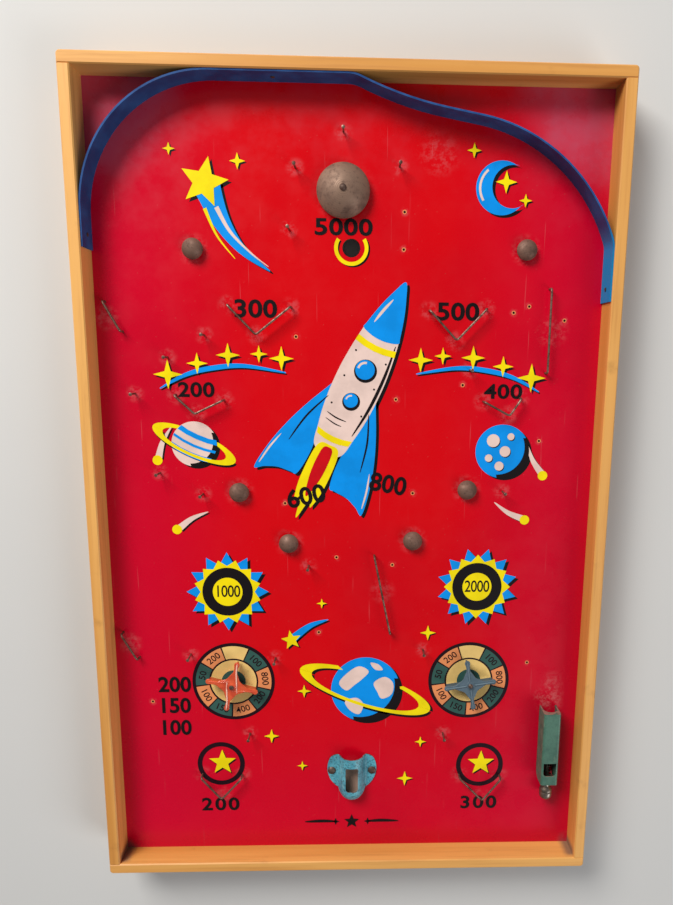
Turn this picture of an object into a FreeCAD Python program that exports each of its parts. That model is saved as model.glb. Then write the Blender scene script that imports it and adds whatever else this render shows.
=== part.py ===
import FreeCAD, Part
import math
import os

# A tilting-ball bagatelle board: a shallow wooden frame round a painted playing
# board, with a curved deflector strip, a gong, dome studs, pins, bent wire
# pockets, two vane spinners, a pressed return hood and a sprung ball launcher.
# Sizes are in millimetres. X runs across, Y up the board towards the deflector,
# Z up. The origin is the middle of the footprint, on the surface it lies on.

Vec = FreeCAD.Vector
UP = Vec(0, 0, 1)
UP_THE_BOARD = Vec(0, 1, 0)

# Frame
outer_width = 375.0
outer_length = 590.0
rail_thickness = 8.0
rail_height = 35.0
wall_above_face = 19.5
rail_arris = 0.8
frame_corner_round = 2.5
groove_depth = 3.0
joint_nail_diameter = 1.6
joint_nail_length = 26.0
joint_nail_head = 3.2
joint_nail_head_thickness = 0.6
joint_nail_from_top = 6.5
joint_nail_from_bottom = 5.5

# Playing board
board_thickness = 4.0
board_edge_gap = 0.3
score_hole_diameter = 12.6
score_hole_x = -0.2
score_hole_from_top = 106.5

# Sides of the small turned and drawn pieces, which stay faceted to keep the model light
driven_sides = 6
head_sides = 8
boss_sides = 12
stud_sides = 16
turned_sides = 20
hood_sides = 28
gong_sides = 32
spring_wire_sides = 6

# Fits
nail_fit = 0.02
running_fit = 0.08
seat_gap = 0.3

# Deflector strip
strip_thickness = 1.2
strip_height = 18.0
strip_left_radius = 87.5
strip_left_tail = 23.0
strip_bend_from_right = 181.5
strip_bend_radius = 20.0
strip_bend_angle = 24.0
strip_relief_radius = 250.0
strip_relief_angle = 10.0
strip_sweep_radius = 119.0
strip_landing_angle = 70.0
strip_landing_radius = 15.0
strip_right_tail = 36.0
strip_nail_from_end = 9.0
strip_nail_height = 9.0
strip_top_nail_x = -52.0
strip_nail_diameter = 1.2
strip_nail_length = 6.5
strip_nail_head = 2.8
strip_nail_head_thickness = 0.5

# Gong
gong_x = -5.8
gong_from_top = 69.5
gong_diameter = 36.5
gong_sheet = 1.0
gong_rim_height = 3.0
gong_rise = 9.0
gong_rim_depth = 1.6
gong_crown_diameter = 9.0
gong_bands = 3
gong_spacer_diameter = 6.0
gong_nail_diameter = 2.0
gong_nail_head = 4.6
gong_nail_head_height = 1.4

# Dome studs
stud_diameter = 14.4
stud_rise = 4.2
stud_rim_depth = 0.9
stud_clearance = 2.6
stud_crown_share = 0.3
stud_bands = 3
stud_stem_diameter = 3.2
stud_shank_diameter = 1.8
stud_places_from_top = ((-109.7, 109.1), (122.9, 106.3))
stud_places_from_middle = ((-82.0, 6.7), (86.3, 9.4), (-46.2, -31.9), (46.5, -29.8))

# Pins
pin_diameter = 1.4
pin_height = 11.5
pin_head = 2.5
pin_head_thickness = 0.5
shank_depth = 3.4
pins_from_top = (
    (-5.7, 31.3),
    (-38.7, 54.4),
    (32.8, 52.5),
    (-43.5, 94.7),
    (-104.2, 167.2),
    (-130.6, 183.0),
    (-154.6, 208.8),
    (85.8, 189.8),
)
pins_from_middle = ((-108.8, 5.0), (113.3, 7.9), (-139.5, 20.7))
pins_from_bottom = (
    (-31.7, 237.1),
    (-122.5, 166.2),
    (-57.8, 162.8),
    (56.3, 169.2),
    (-78.7, 99.6),
    (73.7, 98.6),
)

# Bent wires
wire_diameter = 1.6
wire_height = 6.2
wire_bend_setback = 1.4
pockets_from_top = (
    ((-86.8, 146.5), (-67.1, 166.8), (-42.6, 147.3)),
    ((55.5, 148.5), (74.9, 169.2), (96.0, 146.8)),
    ((-125.8, 209.5), (-111.6, 222.7), (-91.6, 213.0)),
    ((96.5, 212.4), (115.1, 222.2), (123.3, 209.7)),
)
pockets_from_bottom = (
    ((-117.1, 64.7), (-101.5, 46.2), (-85.8, 63.7)),
    ((87.8, 62.0), (106.2, 42.4), (120.6, 60.9)),
)
lane_guide_from_right = 38.4
lane_guide_from_top = 132.4
lane_guide_length = 59.0
left_guide_upper_from_left = 7.2
left_guide_upper_from_top = 145.2
left_guide_lower_from_left = 6.7
left_guide_lower_from_bottom = 184.5
left_guide_length = 23.2
left_guide_angle = -61.0
centre_guide_start_x = 17.9
centre_guide_end_x = 30.4
centre_guide_from_middle = 41.9
centre_guide_rise = 61.1

# Spinners
spinner_radius = 20.3
spinner_left_x = -90.5
spinner_right_x = 93.0
spinner_from_bottom = 143.4
spinner_left_turn = -14.0
spinner_right_turn = 8.7
spinner_arms = 4
spinner_top = 9.2
spinner_plate = 1.2
spinner_web_radius = 10.8
spinner_web_curve = 26.0
arm_waist_width = 2.7
arm_waist_radius = 12.6
arm_tip_width = 4.2
vane_thickness = 1.5
vane_clearance = 2.0
spinner_boss_diameter = 7.0
spinner_dome_rise = 0.9
pivot_diameter = 2.0
pivot_head = 3.6
pivot_head_height = 1.2
pivot_washer_diameter = 8.0
pivot_washer_thickness = 1.5

# Return hood
hood_x = 1.5
hood_mouth_from_bottom = 81.2
hood_sheet = 0.8
hood_vault_radius = 10.2
hood_straight_length = 28.6
hood_nose_bands = 3
hood_flange_radius = 19.6
hood_flange_centre_back = 12.2
hood_mouth_corner = 4.0
hood_slot_width = 9.8
hood_slot_length = 20.4
hood_slot_from_mouth = 7.4
hood_slot_corner = 2.0
hood_nail_spread = 16.0
hood_nail_back = 14.0
hood_nail_head = 6.4
hood_nail_head_height = 1.8
hood_nail_diameter = 2.0

# Launcher housing
housing_from_right = 22.3
housing_mouth_from_bottom = 121.7
housing_width = 13.3
housing_length = 60.4
housing_height = 15.0
housing_sheet = 0.8
housing_bend_radius = 1.6
housing_heel_radius = 6.5
mouth_width = 11.0
mouth_height = 11.4
window_width = 10.0
window_length = 11.0
window_from_mouth = 41.8
window_corner = 2.8
tab_width = 4.0
tab_bent_length = 3.2
tab_inset = 9.0
tab_fit = 0.1

# Plunger and spring
rod_diameter = 3.2
hammer_side_gap = 0.25
hammer_floor_gap = 1.0
hammer_length = 6.0
hammer_from_mouth = 12.0
hammer_chamfer = 0.8
hammer_socket_depth = 4.0
knob_diameter = 9.8
knob_length = 10.5
knob_neck_diameter = 5.4
knob_neck_length = 5.4
knob_socket_depth = 9.0
knob_bevel = 1.6
spring_wire = 0.7
spring_mean_diameter = 6.0
spring_turns = 8
spring_lead_rise = 1.3
spring_lead_angle = 0.42
spring_end_gap = 0.05

# Worked-out places
inner_half_width = outer_width / 2 - rail_thickness
inner_half_length = outer_length / 2 - rail_thickness
face_z = rail_height - wall_above_face
board_under_z = face_z - board_thickness
spinner_y = spinner_from_bottom - inner_half_length
hood_mouth_y = hood_mouth_from_bottom - inner_half_length
housing_x = inner_half_width - housing_from_right
housing_mouth_y = housing_mouth_from_bottom - inner_half_length
housing_back_y = housing_mouth_y - housing_length
hammer_radius = housing_width / 2 - housing_sheet - hammer_side_gap
plunger_z = face_z + hammer_floor_gap + hammer_radius
hammer_front_y = housing_mouth_y - hammer_from_mouth
hammer_back_y = hammer_front_y - hammer_length
knob_front_y = housing_back_y - seat_gap
knob_back_y = knob_front_y - knob_neck_length - knob_length
gong_y = inner_half_length - gong_from_top
score_hole_y = inner_half_length - score_hole_from_top


def from_top(places):
    """Places given by their distance from the top rail, as board places."""
    return [Vec(x, inner_half_length - drop, face_z) for x, drop in places]


def from_bottom(places):
    """Places given by their distance from the bottom rail, as board places."""
    return [Vec(x, rise - inner_half_length, face_z) for x, rise in places]


def from_middle(places):
    """Places given from the middle of the board."""
    return [Vec(x, y, face_z) for x, y in places]


def block(low, high):
    """A box between two corners."""
    size = Vec(*high) - Vec(*low)
    return Part.makeBox(size.x, size.y, size.z, Vec(*low))


def post(x, y, low_z, high_z, radius):
    """An upright cylinder."""
    return Part.makeCylinder(radius, high_z - low_z, Vec(x, y, low_z), UP)


def rod(x, z, low_y, high_y, radius):
    """A cylinder that lies along the board."""
    return Part.makeCylinder(radius, high_y - low_y, Vec(x, low_y, z), UP_THE_BOARD)


def line(start, end):
    return Part.LineSegment(start, end).toShape()


def arc(start, middle, end):
    return Part.Arc(start, middle, end).toShape()


def polyline(points):
    """Straight edges through the points in turn."""
    return [line(a, b) for a, b in zip(points, points[1:])]


def ring(centre, way, radius, sides):
    """A regular polygon's points round a centre, square to way, the first repeated."""
    across = Vec(1, 0, 0) if abs(way.z) > 0.9 else UP
    across = across.cross(way).normalize()
    other = way.cross(across).normalize()
    points = []
    for index in range(sides + 1):
        angle = 2 * math.pi * (index % sides) / sides
        points.append(centre + across * (radius * math.cos(angle)) + other * (radius * math.sin(angle)))
    return points


def peg(start, way, length, radius, sides):
    """A small faceted bar, for drawn wire and turned heads."""
    return Part.Face(Part.makePolygon(ring(start, way, radius, sides))).extrude(way * length)


def stack(base, way, levels, sides):
    """A faceted turned solid: a radius and a distance along way for each of its levels."""
    rings = [ring(base + way * along, way, radius, sides) for radius, along in levels]
    faces = [Part.Face(Part.makePolygon(points)) for points in (rings[0], rings[-1])]
    for lower, upper in zip(rings, rings[1:]):
        for index in range(sides):
            corners = [lower[index], lower[index + 1], upper[index + 1], upper[index], lower[index]]
            faces.append(Part.Face(Part.makePolygon(corners)))
    return Part.makeSolid(Part.makeShell(faces))


def dome_levels(radius, rise, base, crown_radius, bands):
    """Levels up a dome that ends in a small flat crown."""
    ball = (radius**2 + rise**2) / (2 * rise)
    edge_angle = math.asin(radius / ball)
    crown_angle = math.asin(crown_radius / ball)
    levels = []
    for index in range(bands + 1):
        angle = edge_angle + (crown_angle - edge_angle) * index / bands
        levels.append((ball * math.sin(angle), base + rise - ball + ball * math.cos(angle)))
    return levels


def rounded_slot(width, length, corner, x, high_y, low_z, depth):
    """A rectangular cutter with round corners, hanging down the board from high_y."""
    cutter = block((x - width / 2, high_y - length, low_z), (x + width / 2, high_y, low_z + depth))
    return cutter.makeFillet(corner, [edge for edge in cutter.Edges if is_upright(edge)])


def board_groove():
    """The space that the board takes in the four rails."""
    half_width = inner_half_width + groove_depth
    half_length = inner_half_length + groove_depth
    return block((-half_width, -half_length, board_under_z), (half_width, half_length, face_z))


def joint_nail_places():
    """Each corner nail: its place on the end face and the way its point goes."""
    across = outer_width / 2 - rail_thickness / 2
    levels = (joint_nail_from_bottom, rail_height - joint_nail_from_top)
    places = []
    for end in (-1, 1):
        for side in (-1, 1):
            for level in levels:
                places.append((Vec(side * across, end * outer_length / 2, level), Vec(0, -end, 0)))
    return places


def flat_nail(place, way, diameter, length, head, head_thickness, sunk):
    """A flat-headed nail: way is where its point goes, sunk how deep its head sits."""
    top = place + way * (sunk - head_thickness)
    shank = peg(place, way, length, diameter / 2, driven_sides)
    return shank.fuse(peg(top, way, head_thickness, head / 2, head_sides)).removeSplitter()


def joint_nail(place, way, fit):
    """A corner nail with its head let in flush; fit is added all round for its hole."""
    return flat_nail(
        place,
        way,
        joint_nail_diameter + 2 * fit,
        joint_nail_length + fit,
        joint_nail_head + 2 * fit,
        joint_nail_head_thickness + fit,
        joint_nail_head_thickness + fit,
    )


def strip_nail(place, way, fit):
    """A deflector nail with its head on the strip."""
    return flat_nail(
        place,
        way,
        strip_nail_diameter + 2 * fit,
        strip_nail_length + fit,
        strip_nail_head,
        strip_nail_head_thickness,
        0.0,
    )


def strip_centreline():
    """The deflector's centreline, seen from above, from its left end to its right end."""
    left_x = -inner_half_width + strip_thickness / 2
    right_x = inner_half_width - strip_thickness / 2
    top_y = inner_half_length - strip_thickness / 2
    edges = []
    start = Vec(left_x, top_y - strip_left_radius - strip_left_tail, face_z)
    arc_start = Vec(left_x, top_y - strip_left_radius, face_z)
    arc_end = Vec(left_x + strip_left_radius, top_y, face_z)
    centre = Vec(arc_end.x, arc_start.y, face_z)
    diagonal = strip_left_radius * math.sqrt(0.5)
    edges.append(line(start, arc_start))
    edges.append(arc(arc_start, centre + Vec(-diagonal, diagonal, 0), arc_end))
    here = Vec(right_x - strip_bend_from_right, top_y, face_z)
    edges.append(line(arc_end, here))

    def turn(point, radius, before, after):
        """An arc from one downward angle to another; its end point and its edge."""
        side = 1 if after > before else -1

        def on_arc(angle):
            a, b = math.radians(before), math.radians(angle)
            step_x = side * radius * (math.sin(b) - math.sin(a))
            step_y = side * radius * (math.cos(b) - math.cos(a))
            return point + Vec(step_x, step_y, 0)

        end = on_arc(after)
        return end, arc(point, on_arc((before + after) / 2), end)

    here, edge = turn(here, strip_bend_radius, 0.0, strip_bend_angle)
    edges.append(edge)
    here, edge = turn(here, strip_relief_radius, strip_bend_angle, strip_relief_angle)
    edges.append(edge)
    sweep_end, _ = turn(Vec(), strip_sweep_radius, strip_relief_angle, strip_landing_angle)
    landing_end, _ = turn(Vec(), strip_landing_radius, strip_landing_angle, 90.0)
    run = right_x - sweep_end.x - landing_end.x - here.x
    slope = math.tan(math.radians(strip_relief_angle))
    sweep_start = here + Vec(run, -run * slope, 0)
    edges.append(line(here, sweep_start))
    here, edge = turn(sweep_start, strip_sweep_radius, strip_relief_angle, strip_landing_angle)
    edges.append(edge)
    here, edge = turn(here, strip_landing_radius, strip_landing_angle, 90.0)
    edges.append(edge)
    edges.append(line(here, here - Vec(0, strip_right_tail, 0)))
    return Part.Wire(edges)


def strip_nail_places():
    """The strip's nails: on its inner face, and the way their points go."""
    strip_inner_x = inner_half_width - strip_thickness
    strip_inner_y = inner_half_length - strip_thickness
    z = face_z + strip_nail_height
    ends = strip_centreline().OrderedVertexes
    left_end = ends[0].Point
    right_end = ends[-1].Point
    return [
        (Vec(-strip_inner_x, left_end.y + strip_nail_from_end, z), Vec(-1, 0, 0)),
        (Vec(strip_top_nail_x, strip_inner_y, z), Vec(0, 1, 0)),
        (Vec(strip_inner_x, right_end.y + strip_nail_from_end, z), Vec(1, 0, 0)),
    ]


def is_upright(edge):
    return abs(edge.tangentAt(edge.FirstParameter).z) > 0.9


def end_rail(end):
    """The rail across the top (end 1) or the bottom (end -1), full width."""
    outer_y = end * outer_length / 2
    inner_y = end * inner_half_length
    low = (-outer_width / 2, min(outer_y, inner_y), 0)
    high = (outer_width / 2, max(outer_y, inner_y), rail_height)
    rail = block(low, high)
    upright = [
        edge
        for edge in rail.Edges
        if is_upright(edge) and abs(edge.CenterOfMass.y - outer_y) < 0.1
    ]
    rail = rail.makeFillet(frame_corner_round, upright)
    level = [edge for edge in rail.Edges if edge.BoundBox.ZLength < 0.01]
    return rail.makeChamfer(rail_arris, [edge for edge in level if edge.BoundBox.XLength > 0.01])


def side_rail(side):
    """The rail along the left (side -1) or the right (side 1), between the end rails."""
    outer_x = side * outer_width / 2
    inner_x = side * inner_half_width
    low = (min(outer_x, inner_x), -inner_half_length, 0)
    high = (max(outer_x, inner_x), inner_half_length, rail_height)
    rail = block(low, high)
    lengthwise = [edge for edge in rail.Edges if edge.BoundBox.YLength > outer_length / 2]
    return rail.makeChamfer(rail_arris, lengthwise)


def rails():
    """The four rails, grooved for the board and drilled for their nails."""
    frame = {
        "rail_top": end_rail(1),
        "rail_bottom": end_rail(-1),
        "rail_left": side_rail(-1),
        "rail_right": side_rail(1),
    }
    groove = board_groove()
    holes = [joint_nail(place, way, nail_fit) for place, way in joint_nail_places()]
    holes += [strip_nail(place, way, nail_fit) for place, way in strip_nail_places()]
    drilled = {}
    for name, rail in frame.items():
        near = [hole for hole in holes if hole.BoundBox.intersect(rail.BoundBox)]
        drilled[name] = rail.cut([groove] + near)
    return drilled


def corner_nails():
    return [joint_nail(place, way, 0.0) for place, way in joint_nail_places()]


def arch_strip():
    """The deflector: a thin band on edge, sprung along the frame."""
    path = strip_centreline()
    halves = []
    for side in (-1, 1):
        plan = path.makeOffset2D(side * strip_thickness / 2, 0, True, True, False)
        halves.append(plan.extrude(UP * strip_height))
    strip = halves[0].fuse(halves[1]).removeSplitter()
    holes = [strip_nail(place, way, nail_fit) for place, way in strip_nail_places()]
    return strip.cut(holes)


def strip_nails():
    return [strip_nail(place, way, 0.0) for place, way in strip_nail_places()]


def pin_places():
    return from_top(pins_from_top) + from_middle(pins_from_middle) + from_bottom(pins_from_bottom)


def stud_places():
    return from_top(stud_places_from_top) + from_middle(stud_places_from_middle)


def pin(place):
    """A panel pin: shank in the board, small flat head on top."""
    foot = place - UP * shank_depth
    under_head = place + UP * (pin_height - pin_head_thickness)
    length = shank_depth + pin_height - pin_head_thickness / 2
    shank = peg(foot, UP, length, pin_diameter / 2, driven_sides)
    return shank.fuse(peg(under_head, UP, pin_head_thickness, pin_head / 2, head_sides)).removeSplitter()


def dome_stud(place):
    """A domed stud: crowned cap with a short rim, stem down to the board, shank in it."""
    rim = stud_diameter / 2
    dome_base = stud_clearance + stud_rim_depth
    levels = [(rim, stud_clearance)]
    levels += dome_levels(rim, stud_rise, dome_base, rim * stud_crown_share, stud_bands)
    cap = stack(place, UP, levels, stud_sides)
    stem = peg(place, UP, dome_base, stud_stem_diameter / 2, head_sides)
    foot = place - UP * shank_depth
    shank = peg(foot, UP, shank_depth + stud_rim_depth, stud_shank_diameter / 2, driven_sides)
    return cap.fuse([stem, shank]).removeSplitter()


def gong_form(radius, low, crown):
    """The gong's outer or inner form: a short rim, then a dome with a small flat crown."""
    rim = gong_rim_height + gong_rim_depth
    levels = [(radius, low)]
    levels += dome_levels(radius, crown - rim, rim, gong_crown_diameter / 2, gong_bands)
    return stack(Vec(gong_x, gong_y, face_z), UP, levels, gong_sides)


def gong_parts():
    """The gong, the spacer it stands on and the nail through both."""
    top = gong_rim_height + gong_rim_depth + gong_rise
    outer = gong_form(gong_diameter / 2, gong_rim_height, top)
    inner = gong_form(gong_diameter / 2 - gong_sheet, gong_rim_height - gong_sheet, top - gong_sheet)
    crown_z = outer.BoundBox.ZMax
    under_z = inner.BoundBox.ZMax
    centre = Vec(gong_x, gong_y, face_z)
    foot = centre - UP * shank_depth
    nail_radius = gong_nail_diameter / 2
    bore = peg(centre, UP, top + gong_sheet, nail_radius + nail_fit, driven_sides)
    shell = outer.cut([inner, bore])
    spacer = peg(centre, UP, under_z - face_z, gong_spacer_diameter / 2, head_sides).cut(bore)
    shank = peg(foot, UP, crown_z - foot.z, nail_radius, driven_sides)
    head = round_head(Vec(gong_x, gong_y, crown_z), gong_nail_head, gong_nail_head_height)
    return shell, spacer, shank.fuse(head).removeSplitter()


def round_head(seat, diameter, rise):
    """A nail's domed head on its seat."""
    radius = diameter / 2
    return stack(seat, UP, dome_levels(radius, rise, 0.0, radius * stud_crown_share, 2), 2 * head_sides)


def standing_wire(top_points):
    """A wire fence: its two ends turn down into the board, its top follows the points."""
    lift = Vec(0, 0, wire_height)
    sink = Vec(0, 0, -shank_depth)
    corners = [top_points[0] + sink]
    corners += [point + lift for point in top_points]
    corners.append(top_points[-1] + sink)
    route = [corners[0]]
    for before, corner, after in zip(corners, corners[1:], corners[2:]):
        route.append(corner + (before - corner).normalize() * wire_bend_setback)
        route.append(corner + (after - corner).normalize() * wire_bend_setback)
    route.append(corners[-1])
    section = Part.makePolygon(ring(corners[0], UP, wire_diameter / 2, driven_sides))
    return Part.Wire(polyline(route)).makePipeShell([section], True, False, 1)


def pocket_places():
    """The three points of each ball pocket, on the board."""
    groups = [from_top(places) for places in pockets_from_top]
    groups += [from_bottom(places) for places in pockets_from_bottom]
    return groups


def guide_places():
    """The two points of each straight guide wire, on the board."""
    lane_x = inner_half_width - lane_guide_from_right
    lane_y = inner_half_length - lane_guide_from_top
    tilt = math.radians(left_guide_angle)
    slant = Vec(math.cos(tilt), math.sin(tilt), 0) * left_guide_length
    upper_y = inner_half_length - left_guide_upper_from_top
    upper = Vec(-inner_half_width + left_guide_upper_from_left, upper_y, face_z)
    lower_y = left_guide_lower_from_bottom - inner_half_length
    lower = Vec(-inner_half_width + left_guide_lower_from_left, lower_y, face_z)
    centre = Vec(centre_guide_start_x, -centre_guide_from_middle, face_z)
    centre_end = Vec(centre_guide_end_x, -centre_guide_from_middle - centre_guide_rise, face_z)
    lane = Vec(lane_x, lane_y, face_z)
    return {
        "lane_guide_wire": [lane, lane - UP_THE_BOARD * lane_guide_length],
        "left_guide_wire_upper": [upper, upper + slant],
        "left_guide_wire_lower": [lower, lower + slant],
        "centre_guide_wire": [centre, centre_end],
    }


def hood_nail_places():
    y = hood_mouth_y - hood_nail_back
    return [Vec(hood_x + side * hood_nail_spread, y, face_z) for side in (-1, 1)]


def pivot_places():
    return {
        "left": Vec(spinner_left_x, spinner_y, face_z),
        "right": Vec(spinner_right_x, spinner_y, face_z),
    }


def tab_blocks(fit):
    """The four tabs of the launcher housing where they pass through the board."""
    tabs = []
    low_z = board_under_z - housing_sheet
    for side in (-1, 1):
        outer = housing_x + side * housing_width / 2
        inner = outer - side * housing_sheet
        for y in (housing_mouth_y - tab_inset, housing_back_y + tab_inset + tab_width):
            low = (min(outer, inner) - fit, y - tab_width - fit, low_z)
            high = (max(outer, inner) + fit, y + fit, face_z)
            tabs.append(block(low, high))
    return tabs


def playfield():
    """The board: drilled for the scoring hole and everything driven into it."""
    half_width = inner_half_width + groove_depth - board_edge_gap
    half_length = inner_half_length + groove_depth - board_edge_gap
    board = block((-half_width, -half_length, board_under_z), (half_width, half_length, face_z))
    low = face_z - shank_depth - nail_fit
    cutters = [post(score_hole_x, score_hole_y, board_under_z - 1, face_z + 1, score_hole_diameter / 2)]

    def drill(place, diameter):
        foot = Vec(place.x, place.y, low)
        cutters.append(peg(foot, UP, face_z + 1 - low, diameter / 2 + nail_fit, driven_sides))

    for place in pin_places():
        drill(place, pin_diameter)
    for place in stud_places():
        drill(place, stud_shank_diameter)
    wire_corners = wire_diameter / math.cos(math.pi / driven_sides)
    for points in pocket_places() + list(guide_places().values()):
        drill(points[0], wire_corners)
        drill(points[-1], wire_corners)
    for place in hood_nail_places():
        drill(place, hood_nail_diameter)
    drill(Vec(gong_x, gong_y, face_z), gong_nail_diameter)
    for place in pivot_places().values():
        cutters.append(post(place.x, place.y, low, face_z + 1, pivot_diameter / 2 + nail_fit))
    return board.cut(cutters + tab_blocks(tab_fit))


def spinner_outline(z):
    """The spinner's plan: a web with hollow sides that runs out into four flared arms."""
    edges = []
    step = 2 * math.pi / spinner_arms
    waist = arm_waist_width / 2
    tip = arm_tip_width / 2
    tip_centre = spinner_radius - tip
    web_reach = spinner_web_radius
    valley = web_reach * math.cos(step / 2) * 0.8
    for index in range(spinner_arms):
        turn = step * index

        def at(along, aside, angle=turn):
            x = along * math.cos(angle) - aside * math.sin(angle)
            y = along * math.sin(angle) + aside * math.cos(angle)
            return Vec(x, y, z)

        near_right = at(arm_waist_radius, -waist)
        far_right = at(tip_centre, -tip)
        far_left = at(tip_centre, tip)
        near_left = at(arm_waist_radius, waist)
        edges.append(line(near_right, far_right))
        edges.append(arc(far_right, at(spinner_radius, 0), far_left))
        edges.append(line(far_left, near_left))
        middle = turn + step / 2
        hollow = Vec(valley * math.cos(middle), valley * math.sin(middle), z)
        next_waist = at(arm_waist_radius, -waist, turn + step)
        edges.append(arc(near_left, hollow, next_waist))
    return Part.Wire(edges)


def spinner(place, turn):
    """A spinner: star plate on top, an upright vane under each arm, a bored boss."""
    top = spinner_top
    plate_low = top - spinner_plate
    vane_low = vane_clearance
    boss_low = pivot_washer_thickness + seat_gap / 2
    bore = pivot_diameter / 2 + running_fit
    star = Part.Face(spinner_outline(plate_low)).extrude(Vec(0, 0, spinner_plate))
    hub = spinner_boss_diameter / 2
    crown = (hub - spinner_dome_rise, top + spinner_dome_rise)
    solid = star.fuse(stack(Vec(), UP, [(hub, boss_low), (hub, top), crown], boss_sides))
    vane_length = spinner_radius - arm_tip_width / 2
    for index in range(spinner_arms):
        vane_high = top - spinner_plate / 2
        vane = block((0, -vane_thickness / 2, vane_low), (vane_length, vane_thickness / 2, vane_high))
        vane.rotate(Vec(), UP, index * 360 / spinner_arms)
        solid = solid.fuse(vane)
    solid = solid.cut(post(0, 0, 0, top + spinner_dome_rise + 1, bore)).removeSplitter()
    solid.rotate(Vec(), UP, turn)
    solid.translate(place)
    return solid


def spinner_pivot(place):
    """The nail a spinner turns on, with a round head just over the boss."""
    head_z = face_z + spinner_top + spinner_dome_rise + seat_gap / 2
    shank = post(place.x, place.y, face_z - shank_depth, head_z, pivot_diameter / 2)
    base = Vec(place.x, place.y, head_z)
    rim = pivot_head / 2
    levels = [(rim, 0.0), (rim, pivot_head_height / 3), (rim / 2, pivot_head_height)]
    head = stack(base, UP, levels, boss_sides)
    return shank.fuse(head).removeSplitter()


def spinner_washer(place):
    """The washer that keeps a spinner's boss off the board."""
    washer = peg(place, UP, pivot_washer_thickness, pivot_washer_diameter / 2, stud_sides)
    bore = (pivot_diameter / 2 + nail_fit) / math.cos(math.pi / boss_sides)
    return washer.cut(peg(place, UP, pivot_washer_thickness, bore, boss_sides))


def vault(radius, grow):
    """A tunnel of half-round section, closed at its far end by a blunt nose."""
    mouth = Vec(hood_x, hood_mouth_y + grow, face_z)
    levels = [(radius, 0.0)]
    for index in range(hood_nose_bands + 1):
        angle = math.pi / 2 * index / (hood_nose_bands + 0.5)
        along = grow + hood_straight_length + radius * math.sin(angle)
        levels.append((radius * math.cos(angle), along))
    form = stack(mouth, UP_THE_BOARD * -1, levels, hood_sides)
    size = form.BoundBox
    buried = block((size.XMin - 1, size.YMin - 1, size.ZMin - 1), (size.XMax + 1, size.YMax + 1, face_z))
    return form.cut(buried)


def return_hood():
    """The return hood: a pressed tunnel with round side flanges nailed to the board."""
    flange_y = hood_mouth_y - hood_flange_centre_back
    flange = post(hood_x, flange_y, face_z, face_z + hood_sheet, hood_flange_radius)
    reach = hood_flange_radius + 1
    low = (hood_x - reach, hood_mouth_y, face_z - 1)
    high = (hood_x + reach, hood_mouth_y + reach, face_z + hood_sheet + 1)
    flange = flange.cut(block(low, high))
    corners = [
        edge
        for edge in flange.Edges
        if is_upright(edge) and abs(edge.CenterOfMass.y - hood_mouth_y) < 0.1
    ]
    flange = flange.makeFillet(hood_mouth_corner, corners)
    shell = flange.fuse(vault(hood_vault_radius, 0.0)).removeSplitter()
    shell = shell.cut(vault(hood_vault_radius - hood_sheet, 1.0))
    slot = rounded_slot(
        hood_slot_width,
        hood_slot_length,
        hood_slot_corner,
        hood_x,
        hood_mouth_y - hood_slot_from_mouth,
        face_z + hood_sheet + 1,
        hood_vault_radius,
    )
    shell = shell.cut(slot)
    bore = hood_nail_diameter / 2 + nail_fit
    holes = [peg(place - UP, UP, hood_sheet + 2, bore, driven_sides) for place in hood_nail_places()]
    return shell.cut(holes)


def hood_nails():
    nails = []
    for place in hood_nail_places():
        foot = place - UP * shank_depth
        shank = peg(foot, UP, shank_depth + hood_sheet, hood_nail_diameter / 2, driven_sides)
        head = round_head(place + UP * hood_sheet, hood_nail_head, hood_nail_head_height)
        nails.append(shank.fuse(head).removeSplitter())
    return nails


def housing_shell(inset, low_z):
    """The launcher housing's outer form, or its hollow when inset by the sheet."""
    half = housing_width / 2 - inset
    top = face_z + housing_height - inset
    low = (housing_x - half, housing_back_y + inset, low_z)
    high = (housing_x + half, housing_mouth_y - inset, top)
    form = block(low, high)
    radius = housing_bend_radius - inset
    long_top = [
        edge
        for edge in form.Edges
        if edge.BoundBox.ZMin > top - 0.01 and edge.BoundBox.YLength > housing_length / 2
    ]
    return form.makeFillet(radius, long_top)


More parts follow.
